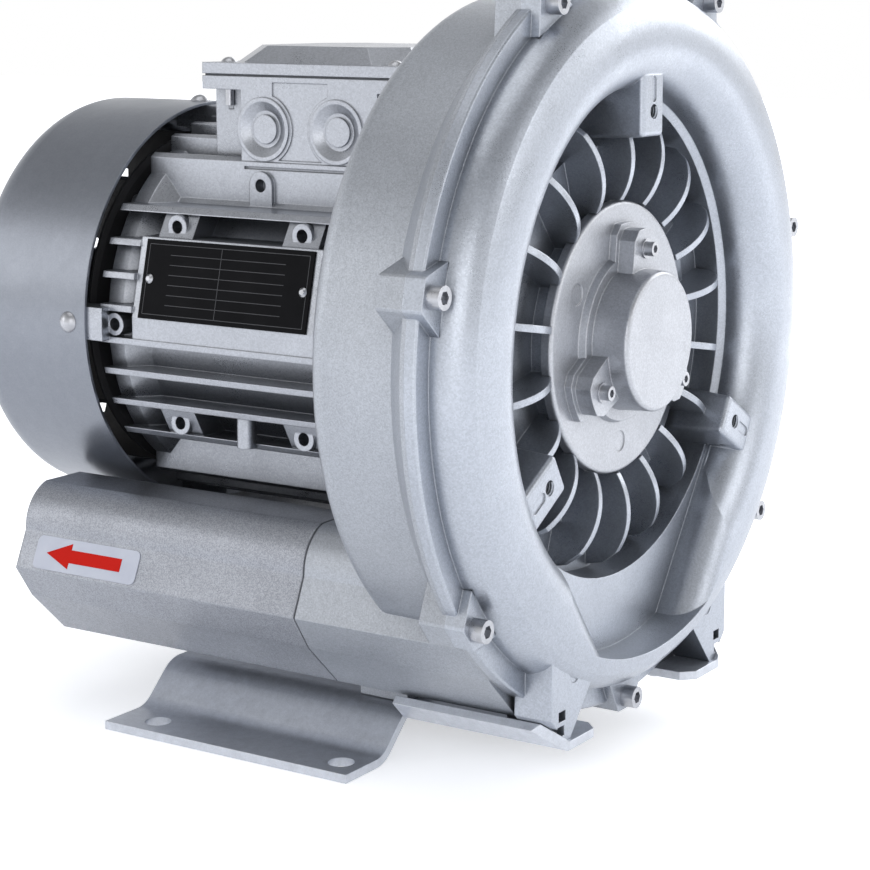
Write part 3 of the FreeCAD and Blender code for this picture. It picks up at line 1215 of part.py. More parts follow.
def motor_housing():
    body = ring(CORE_R, STATOR_BORE_R, MOTOR_FRONT, MOTOR_BACK)
    pieces = [fins(), ring(MOTOR_FLANGE_R, STATOR_BORE_R, MOTOR_FRONT, MOTOR_FRONT + MOTOR_FLANGE_T)]
    bore = ring(STATOR_BORE_R, 0, MOTOR_FRONT - 1, MOTOR_BACK + 1)
    box, hollows = box_body()
    pieces.append(box.cut(ring(CORE_R - 2, 0, BOX_FRONT - 1, BOX_BACK + 1)))
    top_x = PLATE_PAD_X - (PLATE_TOP - PLATE_BOTTOM) * math.tan(math.radians(PLATE_LEAN))
    pad = prism([
        (-PLATE_PAD_X, -FIN_PITCH / 2),
        (-PLATE_PAD_X, PLATE_BOTTOM),
        (-top_x, PLATE_TOP),
        (-CORE_R / 2, PLATE_TOP),
        (-CORE_R / 2, -FIN_PITCH / 2),
    ], PLATE_PAD_FRONT, PLATE_PAD_BACK)
    pieces.append(pad.cut(ring(CORE_R - 2, 0, BOX_FRONT - 1, MOTOR_BACK)))
    for distance in FIN_BOSS_PLACES:
        upper = fin_boss(distance)
        lower = upside_down(upper)
        pieces += [upper, lower, mirrored(upper), mirrored(lower)]
    pieces += box_reliefs()
    pieces.append(turned([
        (CORE_R - 2, MOTOR_BACK - FLARE_LENGTH),
        (CORE_R, MOTOR_BACK - FLARE_LENGTH),
        (MOTOR_FLANGE_R, MOTOR_BACK - FLARE_LENGTH / 2),
        (MOTOR_FLANGE_R, MOTOR_BACK),
        (CORE_R - 2, MOTOR_BACK),
    ]))
    boss_z = COWL_R - COWL_T
    boss = block(-COWL_BOSS_W / 2, COWL_BOSS_W / 2, COWL_BOSS_FRONT, COWL_BOSS_BACK, CORE_R - 4, boss_z)
    boss = boss.cut(ring(FAN_R + FAN_PLAY, 0, MOTOR_BACK, COWL_BOSS_BACK + 1))
    boss = boss.common(ring(boss_z, 0, COWL_BOSS_FRONT, COWL_BOSS_BACK))
    earth_boss = rod(EARTH_BOSS_D, Vector(-EARTH_BOSS_X, RIM_Y + EARTH_BOSS_Y, AXIS_Z), Vector(1, 0, 0), EARTH_BOSS_LENGTH)
    post = rod(FIN_BOSS_D - 2, Vector(-CORE_R, RIM_Y + POST_Y, AXIS_Z - FIN_BOSS_Z - FIN_PITCH / 2),
               Vector(0, 0, 1), FIN_PITCH)
    pieces += [earth_boss, post, mirrored(post)]
    for quarter in range(4):
        pieces.append(spun(boss, 90 * quarter))
    body = body.fuse(pieces)
    cuts = [bore] + hollows + box_features()
    cuts.append(prism([
        (-PLATE_PAD_X, PLATE_BOTTOM),
        (-top_x, PLATE_TOP),
        (-FIN_TIP_R - 1, PLATE_TOP),
        (-FIN_TIP_R - 1, PLATE_BOTTOM),
    ], PLATE_PAD_FRONT, PLATE_PAD_BACK))
    for sign in (-1, 1):
        for distance in FIN_BOSS_PLACES:
            for level in (-FIN_BOSS_Z, FIN_BOSS_Z):
                start = Vector(sign * FIN_TIP_R, RIM_Y + distance, AXIS_Z + level)
                cuts.append(rod(FIN_BOSS_HOLE_D, start, Vector(-sign, 0, 0), 22))
    cuts.append(rod(FIN_BOSS_HOLE_D, Vector(-EARTH_BOSS_X - 1, RIM_Y + EARTH_BOSS_Y, AXIS_Z), Vector(1, 0, 0), 9))
    for quarter in range(4):
        start = place_at(boss_z + 1, 90 * quarter, COWL_SCREW)
        inward = (AXIS + ALONG_Y * (RIM_Y + COWL_SCREW) - start).normalize()
        cuts.append(rod(COWL_SCREW_D, start, inward, COWL_SCREW_LENGTH + 1))
    for x, y in lid_screw_places():
        start = Vector(x, y, AXIS_Z + BOX_TOP - LID_SCREW_LENGTH)
        cuts.append(rod(LID_SCREW_D, start, Vector(0, 0, 1), LID_SCREW_LENGTH + 1))
    for index in range(MOTOR_SCREWS):
        start = place_at(MOTOR_SCREW_R, 45 + index * 360 / MOTOR_SCREWS, MOTOR_FRONT - 1)
        cuts.append(rod(MOTOR_SCREW_D + 0.5, start, ALONG_Y, MOTOR_FLANGE_T + 2))
        cuts.append(rod(MOTOR_SCREW_D * 2 + 1, start + ALONG_Y * (MOTOR_FLANGE_T + 1), ALONG_Y, 12))
    for index in range(SHIELD_SCREWS):
        start = place_at(SHIELD_SCREW_R, 45 + index * 360 / SHIELD_SCREWS, MOTOR_BACK - 14)
        cuts.append(rod(SHIELD_SCREW_D, start, ALONG_Y, 15))
    return body.cut(cuts)


def lid_screw_places():
    """The four lid screws, as x and y."""
    places = []
    for sign in (-1, 1):
        for distance in (BOX_FRONT + LID_SCREW_IN, BOX_BACK - LID_SCREW_IN):
            places.append((sign * (BOX_X - LID_SCREW_IN), RIM_Y + distance))
    return places


def lid():
    base = BOX_TOP + BOX_GASKET_T
    rim = block(-BOX_X, BOX_X, BOX_FRONT, BOX_BACK, base, base + LID_RIM_T)
    lower = plateau_wire(LID_INSET, base + LID_RIM_T)
    upper = plateau_wire(LID_INSET + LID_BEVEL, LID_TOP)
    plateau = Part.makeLoft([lower, upper], True, True)
    hollow_low = plateau_wire(LID_INSET + LID_WALL, base - 1)
    hollow_high = plateau_wire(LID_INSET + LID_BEVEL + LID_WALL, LID_TOP - LID_WALL)
    hollow = Part.makeLoft([hollow_low, hollow_high], True, True)
    body = rim.fuse(plateau).cut(hollow)
    holes = []
    for x, y in lid_screw_places():
        holes.append(rod(LID_SCREW_D + 0.5, Vector(x, y, AXIS_Z + base - 1), Vector(0, 0, 1), 20))
    return body.cut(holes).removeSplitter()


def plateau_wire(inset, level):
    """Eight-sided outline that leaves the screw corners of the lid free."""
    x = BOX_X - inset
    front = RIM_Y + BOX_FRONT + inset
    back = RIM_Y + BOX_BACK - inset
    cut = LID_CORNER - LID_INSET
    z = AXIS_Z + level
    points = [
        Vector(-x + cut, front, z), Vector(x - cut, front, z), Vector(x, front + cut, z),
        Vector(x, back - cut, z), Vector(x - cut, back, z), Vector(-x + cut, back, z),
        Vector(-x, back - cut, z), Vector(-x, front + cut, z),
    ]
    return Part.makePolygon(points + points[:1])


def lid_gasket():
    sheet = block(-BOX_X + 1, BOX_X - 1, BOX_FRONT + 1, BOX_BACK - 1, BOX_TOP, BOX_TOP + BOX_GASKET_T)
    window = block(-BOX_NOTCH_X + BOX_WALL, BOX_NOTCH_X - BOX_WALL, BOX_FRONT + 20, BOX_BACK - 20,
                   BOX_TOP - 1, BOX_TOP + 2)
    holes = []
    for x, y in lid_screw_places():
        holes.append(rod(LID_SCREW_D + 0.5, Vector(x, y, AXIS_Z + BOX_TOP - 1), Vector(0, 0, 1), 3))
    return sheet.cut([window] + holes)


def lid_screws():
    seat = AXIS_Z + BOX_TOP + BOX_GASKET_T + LID_RIM_T
    length = LID_SCREW_LENGTH + LID_RIM_T + BOX_GASKET_T - 2
    return [pan_screw(LID_SCREW_D, length, Vector(x, y, seat), Vector(0, 0, -1)) for x, y in lid_screw_places()]


def terminal_board():
    middle = (BOX_FRONT + BOX_BACK) / 2
    base = block(-BOARD_W / 2, BOARD_W / 2, middle - BOARD_L / 2, middle + BOARD_L / 2,
                 BOX_FLOOR, BOX_FLOOR + BOARD_H)
    barriers = []
    for index in (-1, 1):
        y = middle + index * STUD_PITCH / 2
        barriers.append(block(-BOARD_W / 2, BOARD_W / 2, y - 1, y + 1, BOX_FLOOR, BOX_FLOOR + BOARD_H + 6))
    return base.fuse(barriers).removeSplitter()


def terminal_studs():
    """Six brass studs, each with its nut."""
    middle = (BOX_FRONT + BOX_BACK) / 2
    studs = []
    for column in (-1, 0, 1):
        for row in (-1, 1):
            start = Vector(row * STUD_PITCH / 2, RIM_Y + middle + column * STUD_PITCH,
                           AXIS_Z + BOX_FLOOR + BOARD_H)
            stud = rod(STUD_D, start, Vector(0, 0, 1), STUD_H)
            nut = hexagon(NUT_ACROSS, NUT_H, start, Vector(0, 0, 1))
            studs.append(stud.fuse(nut).removeSplitter())
    return studs


# Stator, rotor and end shield

def rotor_cage():
    """Cast end rings with their small vanes."""
    rings = []
    for front, side in ((STATOR_FRONT - END_RING_LENGTH, -1), (STATOR_FRONT + STATOR_LENGTH, 1)):
        body = ring(END_RING_R, END_RING_IN_R, front, front + END_RING_LENGTH)
        start = front - 5 if side < 0 else front
        vanes = []
        for index in range(ROTOR_VANES):
            vane = block(-1.2, 1.2, start, start + END_RING_LENGTH + 5, END_RING_R - 9, END_RING_R - 1)
            vanes.append(spun(vane, index * 360 / ROTOR_VANES))
        rings.append(body.fuse(vanes).removeSplitter())
    return rings


def end_shield():
    front = MOTOR_BACK
    body = turned([
        (BEARING_OUT_R, REAR_BEARING - 1),
        (SHIELD_HUB_R, REAR_BEARING - 1),
        (SHIELD_HUB_R, front - 2),
        (STATOR_BORE_R - 0.1, front - 2),
        (STATOR_BORE_R - 0.1, front),
        (CORE_R, front),
        (CORE_R, front + SHIELD_T - 1),
        (CORE_R - 1, front + SHIELD_T),
        (SHIELD_HUB_R, front + SHIELD_T),
        (SHIELD_HUB_R - 6, front + SHIELD_T + 2),
        (BEARING_BORE_R + 3, front + SHIELD_T + 2),
        (BEARING_BORE_R + 3, REAR_BEARING + BEARING_W),
        (BEARING_OUT_R, REAR_BEARING + BEARING_W),
    ])
    holes = []
    for index in range(SHIELD_SCREWS):
        start = place_at(SHIELD_SCREW_R, 45 + index * 360 / SHIELD_SCREWS, front - 1)
        holes.append(rod(SHIELD_SCREW_D + 0.5, start, ALONG_Y, SHIELD_T + 4))
    return body.cut(holes)


# Cooling fan and its cowl

def cooling_fan():
    body = turned([
        (FAN_SEAT_R, FAN_FRONT),
        (FAN_R - 3, FAN_FRONT),
        (FAN_R, FAN_FRONT + 1),
        (FAN_R, FAN_FRONT + FAN_DISC_T),
        (FAN_HUB_R + 3, FAN_FRONT + FAN_DISC_T),
        (FAN_HUB_R, FAN_FRONT + FAN_DISC_T + 3),
        (FAN_HUB_R, FAN_HUB_BACK),
        (FAN_SEAT_R, FAN_HUB_BACK),
    ])
    outline = [
        (FAN_BLADE_IN_R, FAN_FRONT + 1),
        (FAN_BLADE_IN_R + 8, FAN_BLADE_BACK - 4),
        (FAN_BLADE_IN_R + 16, FAN_BLADE_BACK),
        (FAN_R - 2, FAN_BLADE_BACK),
        (FAN_R, FAN_BLADE_BACK - 2),
        (FAN_R, FAN_FRONT + 1),
    ]
    wire = closed_wire(outline, lambda r, y: Vector(-FAN_BLADE_T / 2, RIM_Y + y, AXIS_Z + r))
    blade = Part.Face(wire).extrude(Vector(FAN_BLADE_T, 0, 0))
    return body.fuse([spun(blade, index * 360 / FAN_BLADES) for index in range(FAN_BLADES)]).removeSplitter()


def fan_clip():
    clip = ring(CLIP_R, FAN_SEAT_R - 0.9, FAN_HUB_BACK, FAN_HUB_BACK + CLIP_T)
    gap = block(-3, 3, FAN_HUB_BACK - 1, FAN_HUB_BACK + CLIP_T + 1, 0, CLIP_R + 1)
    return clip.cut(gap)


def fan_cowl():
    inside_round = COWL_ROUND - COWL_T
    body = turned([
        (COWL_R, COWL_FRONT),
        (COWL_R, COWL_BACK - COWL_ROUND),
        ((COWL_R - BEND * COWL_ROUND, COWL_BACK - BEND * COWL_ROUND), (COWL_R - COWL_ROUND, COWL_BACK)),
        (0, COWL_BACK),
        (0, COWL_BACK - COWL_T),
        (COWL_R - COWL_ROUND, COWL_BACK - COWL_T),
        ((COWL_R - COWL_T - BEND * inside_round, COWL_BACK - COWL_T - BEND * inside_round),
         (COWL_R - COWL_T, COWL_BACK - COWL_ROUND)),
        (COWL_R - COWL_T, COWL_FRONT),
    ])
    slots = []
    for index in range(GRILLE_RINGS):
        radius = GRILLE_FIRST_R + index * GRILLE_PITCH
        slots.append(ring(radius + GRILLE_SLOT / 2, radius - GRILLE_SLOT / 2, COWL_BACK - COWL_T - 1, COWL_BACK + 1))
    webs = []
    for index in range(GRILLE_ARMS):
        web = block(-GRILLE_ARM_W / 2, GRILLE_ARM_W / 2, COWL_BACK - COWL_T - 1, COWL_BACK + 1, 0, COWL_R)
        webs.append(spun(web, index * 360 / GRILLE_ARMS + 30))
    grille = slots[0].fuse(slots[1:]).cut(webs)
    holes = []
    for quarter in range(4):
        start = place_at(COWL_R - 6, 90 * quarter, COWL_SCREW)
        outward = (start - AXIS - ALONG_Y * (RIM_Y + COWL_SCREW)).normalize()
        holes.append(rod(COWL_SCREW_D + 0.5, start, outward, 10))
    return body.cut([grille] + holes)


def cowl_screws():
    screws = []
    for quarter in range(4):
        seat = place_at(COWL_R, 90 * quarter, COWL_SCREW)
        inward = (AXIS + ALONG_Y * (RIM_Y + COWL_SCREW) - seat).normalize()
        screws.append(pan_screw(COWL_SCREW_D, COWL_SCREW_LENGTH, seat, inward))
    return screws


# Nameplate, left bare, and its rivets

def tilted(shape):
    """Copy leaned inwards about the plate's lower edge."""
    copy = shape.copy()
    copy.rotate(Vector(-PLATE_PAD_X, 0, AXIS_Z + PLATE_BOTTOM), ALONG_Y, PLATE_LEAN)
    return copy


def nameplate():
    plate = block(-PLATE_PAD_X - PLATE_T, -PLATE_PAD_X, PLATE_FRONT, PLATE_BACK, PLATE_BOTTOM, PLATE_TOP)
    return tilted(plate)


def rivets():
    pieces = []
    for distance in (PLATE_FRONT + 4, PLATE_BACK - 4):
        start = Vector(-PLATE_PAD_X - PLATE_T, RIM_Y + distance, AXIS_Z + (PLATE_TOP + PLATE_BOTTOM) / 2)
        head = Part.makeCone(RIVET_D / 2, RIVET_D / 4, 1.2, start, Vector(-1, 0, 0))
        pieces.append(tilted(head))
    return pieces


def flow_label():
    """Thin label on the slanted side of the discharge silencer."""
    low = Vector(-DUCT_SIDE_X, 0, AXIS_Z + DUCT_SIDE_Z)
    high = Vector(-DUCT_SHOULDER_X, 0, AXIS_Z + DUCT_SHOULDER_Z)
    up = (high - low).normalize()
    out = Vector(-up.z, 0, up.x)
    base = (low + high) * 0.5 - up * (LABEL_H / 2)
    base.y = RIM_Y + LABEL_FRONT
    corners = [base, base + ALONG_Y * (LABEL_LENGTH)]
    corners.append(corners[1] + up * LABEL_H)
    corners.append(base + up * LABEL_H)
    return Part.Face(Part.makePolygon(corners + corners[:1])).extrude(out * LABEL_T)


# Write every sub-part

save("front_cover", front_cover())
save("rear_casing", rear_casing())
save("cover_seal", ring(GASKET_R + GASKET_W / 2, GASKET_R - GASKET_W / 2, SEAM, SEAM + GASKET_T))
ring_screws = []
for screw_angle in ring_angles():
    ring_seat = place_at(BOLT_R, screw_angle, -LUG_SEAT)
    ring_screws.append(socket_screw(RING_SCREW_D, RING_SCREW_LENGTH, ring_seat, ALONG_Y))
save("cover_screws", *ring_screws)

save("bearing_cap", bearing_cap())
cap_screws = []
cap_washers = []
for screw_angle in CAP_SCREW_ANGLES:
    cap_seat = place_at(CAP_BOSS_R, screw_angle, -CAP_BOSS_FRONT)
    washer = rod(CAP_WASHER_D, cap_seat, ALONG_Y * -1, CAP_WASHER_T)
    cap_washers.append(washer.cut(rod(CAP_SCREW_D + 0.3, cap_seat, ALONG_Y * -1, CAP_WASHER_T)))
    cap_seat = cap_seat - ALONG_Y * CAP_WASHER_T
    cap_screws.append(socket_screw(CAP_SCREW_D, CAP_SCREW_LENGTH, cap_seat, ALONG_Y))
save("bearing_cap_screws", *cap_screws)
save("bearing_cap_washers", *cap_washers)

foot = left_foot()
save("left_foot", foot)
save("right_foot", mirrored(foot))
foot_screws = []
for foot_y in (FOOT_SCREW_FRONT_Y, FOOT_SCREW_BACK_Y):
    foot_seat = Vector(-FOOT_SCREW_X, foot_y, FOOT_TOP - FOOT_T)
    foot_screws.append(pan_screw(FOOT_SCREW_D, FOOT_T + FOOT_SCREW_GRIP - 2, foot_seat, Vector(0, 0, 1)))
save("foot_screws", *(foot_screws + [mirrored(screw) for screw in foot_screws]))

shell = silencer()
save("discharge_silencer", shell)
save("intake_silencer", mirrored(shell))
foam = liner()
save("discharge_silencer_foam", foam)
save("intake_silencer_foam", mirrored(foam))
pipe = silencer_tube()
save("silencer_tubes", pipe, mirrored(pipe))
seam = seam_gasket()
save("silencer_gaskets", seam, mirrored(seam))
long_screws = silencer_screws()
save("silencer_screws", *(long_screws + [mirrored(screw) for screw in long_screws]))
save("flow_label", flow_label())

save("impeller", impeller())
save("shaft", shaft())
save("impeller_key", key())
save("impeller_spacer", ring(SPACER_R, BEARING_BORE_R, FRONT_BEARING + BEARING_W, IMPELLER_HUB_FRONT))
bolt_seat = place_at(0, 0, FRONT_BEARING - END_WASHER_T)
end_washer = ring(END_WASHER_R, END_BOLT_D / 2 + 0.2, FRONT_BEARING - END_WASHER_T, FRONT_BEARING)
save("shaft_end_washer", end_washer)
save("shaft_end_bolt", socket_screw(END_BOLT_D, 18, bolt_seat, ALONG_Y))
seal_front = HUB_POCKET_BACK + SEAL_LIP
save("shaft_seal", ring(SEAL_R, SEAL_SHAFT_R + SEAL_RUNNING_GAP, seal_front, seal_front + SEAL_T))

for name, bearing_front in (("front_bearing", FRONT_BEARING), ("rear_bearing", REAR_BEARING)):
    save(f"{name}_outer_race", outer_race(bearing_front))
    save(f"{name}_inner_race", inner_race(bearing_front))
    ball_solids, cage_solid = ball_set(bearing_front)
    save(f"{name}_balls", *ball_solids)
    save(f"{name}_cage", cage_solid)
save("wave_spring", ring(BEARING_OUT_R - 0.5, BEARING_OUTER_LAND_R, FRONT_BEARING - WAVE_SPRING_T, FRONT_BEARING))

save("motor_housing", motor_housing())
motor_screws = []
for screw_index in range(MOTOR_SCREWS):
    motor_seat = place_at(MOTOR_SCREW_R, 45 + screw_index * 360 / MOTOR_SCREWS, MOTOR_FRONT + MOTOR_FLANGE_T)
    motor_screws.append(socket_screw(MOTOR_SCREW_D, 18, motor_seat, ALONG_Y * -1))
save("motor_screws", *motor_screws)
stator_back = STATOR_FRONT + STATOR_LENGTH
save("stator_core", ring(STATOR_BORE_R, STATOR_IN_R, STATOR_FRONT, stator_back))
save("stator_windings",
     ring(WINDING_OUT_R, WINDING_IN_R, STATOR_FRONT - WINDING_LENGTH, STATOR_FRONT),
     ring(WINDING_OUT_R, WINDING_IN_R, stator_back, stator_back + WINDING_LENGTH))
save("rotor_core", ring(ROTOR_R, ROTOR_SHAFT_R, STATOR_FRONT, stator_back))
save("rotor_end_rings", *rotor_cage())
save("rear_end_shield", end_shield())
shield_screws = []
for screw_index in range(SHIELD_SCREWS):
    shield_seat = place_at(SHIELD_SCREW_R, 45 + screw_index * 360 / SHIELD_SCREWS, MOTOR_BACK + SHIELD_T)
    shield_screws.append(socket_screw(SHIELD_SCREW_D, SHIELD_T + 12, shield_seat, ALONG_Y * -1))
save("shield_screws", *shield_screws)

save("terminal_lid", lid())
save("terminal_lid_gasket", lid_gasket())
save("terminal_lid_screws", *lid_screws())
save("terminal_board", terminal_board())
save("terminal_studs", *terminal_studs())
save("nameplate", nameplate())
save("nameplate_rivets", *rivets())

save("cooling_fan", cooling_fan())
save("fan_clip", fan_clip())
save("fan_cowl", fan_cowl())
save("cowl_screws", *cowl_screws())
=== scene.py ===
import json
import math

import bmesh
import bpy
from mathutils import Matrix, Vector


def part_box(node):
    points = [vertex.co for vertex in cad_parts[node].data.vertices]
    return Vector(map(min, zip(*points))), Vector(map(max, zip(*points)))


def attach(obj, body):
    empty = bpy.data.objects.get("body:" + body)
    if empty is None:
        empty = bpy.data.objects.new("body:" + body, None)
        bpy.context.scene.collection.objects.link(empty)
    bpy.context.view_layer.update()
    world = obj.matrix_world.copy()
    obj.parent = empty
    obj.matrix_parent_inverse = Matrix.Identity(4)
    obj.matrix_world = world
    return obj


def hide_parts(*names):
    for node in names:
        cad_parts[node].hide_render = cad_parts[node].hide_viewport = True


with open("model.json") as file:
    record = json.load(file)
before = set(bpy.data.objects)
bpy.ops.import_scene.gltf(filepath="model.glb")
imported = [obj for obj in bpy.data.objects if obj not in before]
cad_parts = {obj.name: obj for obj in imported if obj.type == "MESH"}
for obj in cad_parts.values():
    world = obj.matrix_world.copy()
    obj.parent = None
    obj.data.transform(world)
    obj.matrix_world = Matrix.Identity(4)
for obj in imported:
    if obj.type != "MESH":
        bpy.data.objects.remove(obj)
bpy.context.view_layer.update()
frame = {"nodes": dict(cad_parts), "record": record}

# Shaft height and rim plane of the ring, in metres, as the CAD has them
AXIS_Z = 0.188
RIM_Y = -0.1355

scene = bpy.context.scene
scene.view_settings.view_transform = "Standard"
scene.view_settings.look = "None"


# Node helpers, with the limits of the masks for worn edges with a painted highlight, and for the
# painted shade in deep corners

BEVEL_SAMPLES = 6
PAINTED_SHADE_SAMPLES = 8
PAINTED_SHADE_REACH = 0.03
PAINTED_SHADE_DEEP = 0.15
PAINTED_SHADE_OPEN = 0.85
EDGE_SHARP = 0.80
EDGE_FLAT = 0.995


class Graph:
    """Short way to build a material's node tree."""

    def __init__(self, name):
        self.material = bpy.data.materials.new(name)
        self.material.use_nodes = True
        self.tree = self.material.node_tree
        self.shader = self.tree.nodes["Principled BSDF"]

    def node(self, kind, **values):
        """New node, with its properties or else its input sockets set by name."""
        made = self.tree.nodes.new(kind)
        for key, value in values.items():
            if hasattr(made, key):
                setattr(made, key, value)
            else:
                made.inputs[key.replace("_", " ")].default_value = value
        return made

    def link(self, source, target):
        self.tree.links.new(source, target)

    def place(self):
        """Position on the object, in metres."""
        return self.node("ShaderNodeTexCoord").outputs["Object"]

    def noise(self, scale, detail=2.0, rough=0.5):
        """Soft noise from 0 to 1; the scale is in waves per metre."""
        made = self.node("ShaderNodeTexNoise", Scale=scale, Detail=detail, Roughness=rough)
        self.link(self.place(), made.inputs["Vector"])
        return made.outputs["Fac"]

    def cells(self, scale):
        """Voronoi cells, for the flakes of a metallic paint."""
        made = self.node("ShaderNodeTexVoronoi", Scale=scale)
        self.link(self.place(), made.inputs["Vector"])
        return made

    def spread(self, source, low, high, from_low=0.3, from_high=0.7):
        """Value mapped from its own range to low and high, and held there."""
        made = self.node("ShaderNodeMapRange")
        made.inputs["From Min"].default_value = from_low
        made.inputs["From Max"].default_value = from_high
        made.inputs["To Min"].default_value = low
        made.inputs["To Max"].default_value = high
        self.link(source, made.inputs["Value"])
        return made.outputs["Result"]

    def maths(self, operation, a, b):
        """Result of an operation on two numbers or sockets."""
        made = self.node("ShaderNodeMath", operation=operation)
        for socket, value in zip(made.inputs, (a, b)):
            if isinstance(value, (int, float)):
                socket.default_value = value
            else:
                self.link(value, socket)
        return made.outputs[0]

    def blend(self, factor, a, b, kind="MIX"):
        """Colour b laid over colour a."""
        made = self.node("ShaderNodeMix", data_type="RGBA", blend_type=kind)
        sockets = [s for s in made.inputs if s.enabled]
        for socket, value in zip(sockets, (factor, a, b)):
            if isinstance(value, (int, float)):
                socket.default_value = value
            elif isinstance(value, tuple):
                socket.default_value = (*value, 1.0)
            else:
                self.link(value, socket)
        return [s for s in made.outputs if s.enabled][0]

    def edge(self, radius):
        """Mask that is 1 on edges, for wear and a painted highlight: where the rounded normal
        leaves the true one.
        """
        bevel = self.node("ShaderNodeBevel", samples=BEVEL_SAMPLES)
        bevel.inputs["Radius"].default_value = radius
        geometry = self.node("ShaderNodeNewGeometry")
        dot = self.node("ShaderNodeVectorMath", operation="DOT_PRODUCT")
        self.link(bevel.outputs["Normal"], dot.inputs[0])
        self.link(geometry.outputs["Normal"], dot.inputs[1])
        return self.spread(dot.outputs["Value"], 1.0, 0.0, EDGE_SHARP, EDGE_FLAT)

    def painted_corner_shade(self, darkest):
        """Painted shade: a factor that falls from 1 to the darkest value in deep corners."""
        made = self.node("ShaderNodeAmbientOcclusion", samples=PAINTED_SHADE_SAMPLES)
        made.inputs["Distance"].default_value = PAINTED_SHADE_REACH
        return self.spread(made.outputs["AO"], darkest, 1.0, PAINTED_SHADE_DEEP, PAINTED_SHADE_OPEN)

    def times(self, color, factor):
        """Colour times a number that varies over the surface."""
        made = self.node("ShaderNodeCombineColor")
        for socket in made.inputs[:3]:
            self.link(factor, socket)
        return self.blend(1.0, color, made.outputs["Color"], "MULTIPLY")

    def bump(self, height, distance, strength, under=None, round_edges=0.0):
        """Relief of a height on the normal under it, or on a normal with rounded edges."""
        made = self.node("ShaderNodeBump")
        made.inputs["Strength"].default_value = strength
        made.inputs["Distance"].default_value = distance
        self.link(height, made.inputs["Height"])
        if under is not None:
            self.link(under, made.inputs["Normal"])
        elif round_edges > 0:
            bevel = self.node("ShaderNodeBevel", samples=BEVEL_SAMPLES)
            bevel.inputs["Radius"].default_value = round_edges
            self.link(bevel.outputs["Normal"], made.inputs["Normal"])
        return made.outputs["Normal"]

    def finish(self, color, rough, metal, normal=None, **constants):
        """The material, with its sockets linked or set."""
        given = {"Base Color": color, "Roughness": rough, "Metallic": metal, "Normal": normal}
        for key, value in given.items():
            if value is None:
                continue
            socket = self.shader.inputs[key]
            if isinstance(value, (int, float)):
                socket.default_value = value
            else:
                self.link(value, socket)
        for key, value in constants.items():
            self.shader.inputs[key.replace("_", " ")].default_value = value
        return self.material


# Scales are in waves per metre, and reliefs and radii in metres
STAIN_RANGE = (0.35, 0.70)
FLAKE_RANGE = (0.1, 0.9)
CAST_STAIN_SCALE = 14.0
CAST_WEAR_AND_HIGHLIGHT_SCALE = 160.0
CAST_PATCH_SCALE = 45.0
CAST_COARSE_SCALE = 230.0
CAST_COARSE_RELIEF = 0.00035
CAST_FINE_SCALE = 1100.0
CAST_FINE_RELIEF = 0.00012
SHEET_STAIN_SCALE = 9.0
SHEET_FLAKE_SCALE = 2200.0
SHEET_MOTTLE_SCALE = 190.0
SHEET_PATCH_SCALE = 30.0
SHEET_PEEL_SCALE = 420.0
SHEET_PEEL_RELIEF = 0.00015
STEEL_MARK_SCALE = 900.0
STEEL_MARK_RELIEF = 0.00005
STEEL_TARNISH_SCALE = 300.0
STEEL_WORN_AND_LIT_R = 0.0004
STEEL_ROUND_R = 0.0003
MATT_ROUND_R = 0.0004
NEUTRAL = (1.0, 1.0, 1.0)


def shade(color, factor, lift=0.0):
    """Colour times a factor, plus a lift, held at white."""
    return tuple(min(1.0, factor * c + lift) for c in color)


def silver_cast(name, tone, grain=0.35, flake=0.10, rough=0.40, metal=0.75, edge=0.0008,
                wear_and_highlight=0.25, painted_corner_shade=0.6, speck=1500.0, tint=NEUTRAL):
    """Silver paint over a sand-cast skin: grain, flakes, soft stains, lighter edges (wear and a
    painted highlight) and painted shade in deep corners.
    """
    g = Graph(name)
    body = tuple(tone * t for t in tint)
    stain = g.spread(g.noise(CAST_STAIN_SCALE, 3.0, 0.6), 0.0, 1.0, *STAIN_RANGE)
    dark, worn_and_highlight_color = shade(body, 0.80), shade(body, 1.25, 0.05)
    base = g.blend(g.maths("MULTIPLY", stain, 0.35), body, dark)
    cells = g.cells(speck)
    flakes = g.spread(cells.outputs["Color"], 1.0 - flake, 1.0 + flake, *FLAKE_RANGE)
    base = g.times(base, flakes)
    # Lighter edges: partly wear, partly a painted highlight
    worn_and_lit_edges = g.maths("MULTIPLY", g.edge(edge), g.spread(g.noise(CAST_WEAR_AND_HIGHLIGHT_SCALE, 2.0), 0.5, 1.0))
    base = g.blend(g.maths("MULTIPLY", worn_and_lit_edges, wear_and_highlight), base, worn_and_highlight_color)
    # Painted shade: the colour is darker in deep corners and recesses
    base = g.times(base, g.painted_corner_shade(painted_corner_shade))
    patches = g.spread(g.noise(CAST_PATCH_SCALE, 4.0, 0.6), rough - 0.05, rough + 0.07)
    glints = g.spread(cells.outputs["Distance"], -0.05, 0.05, 0.0, 0.6)
    gloss = g.maths("ADD", patches, glints)
    sand = g.noise(CAST_COARSE_SCALE, 3.0, 0.6)
    coarse = g.bump(sand, CAST_COARSE_RELIEF, grain * 0.8, round_edges=edge)
    fine = g.bump(g.noise(CAST_FINE_SCALE, 2.0, 0.6), CAST_FINE_RELIEF, grain, under=coarse)
    return g.finish(base, gloss, metal, fine)


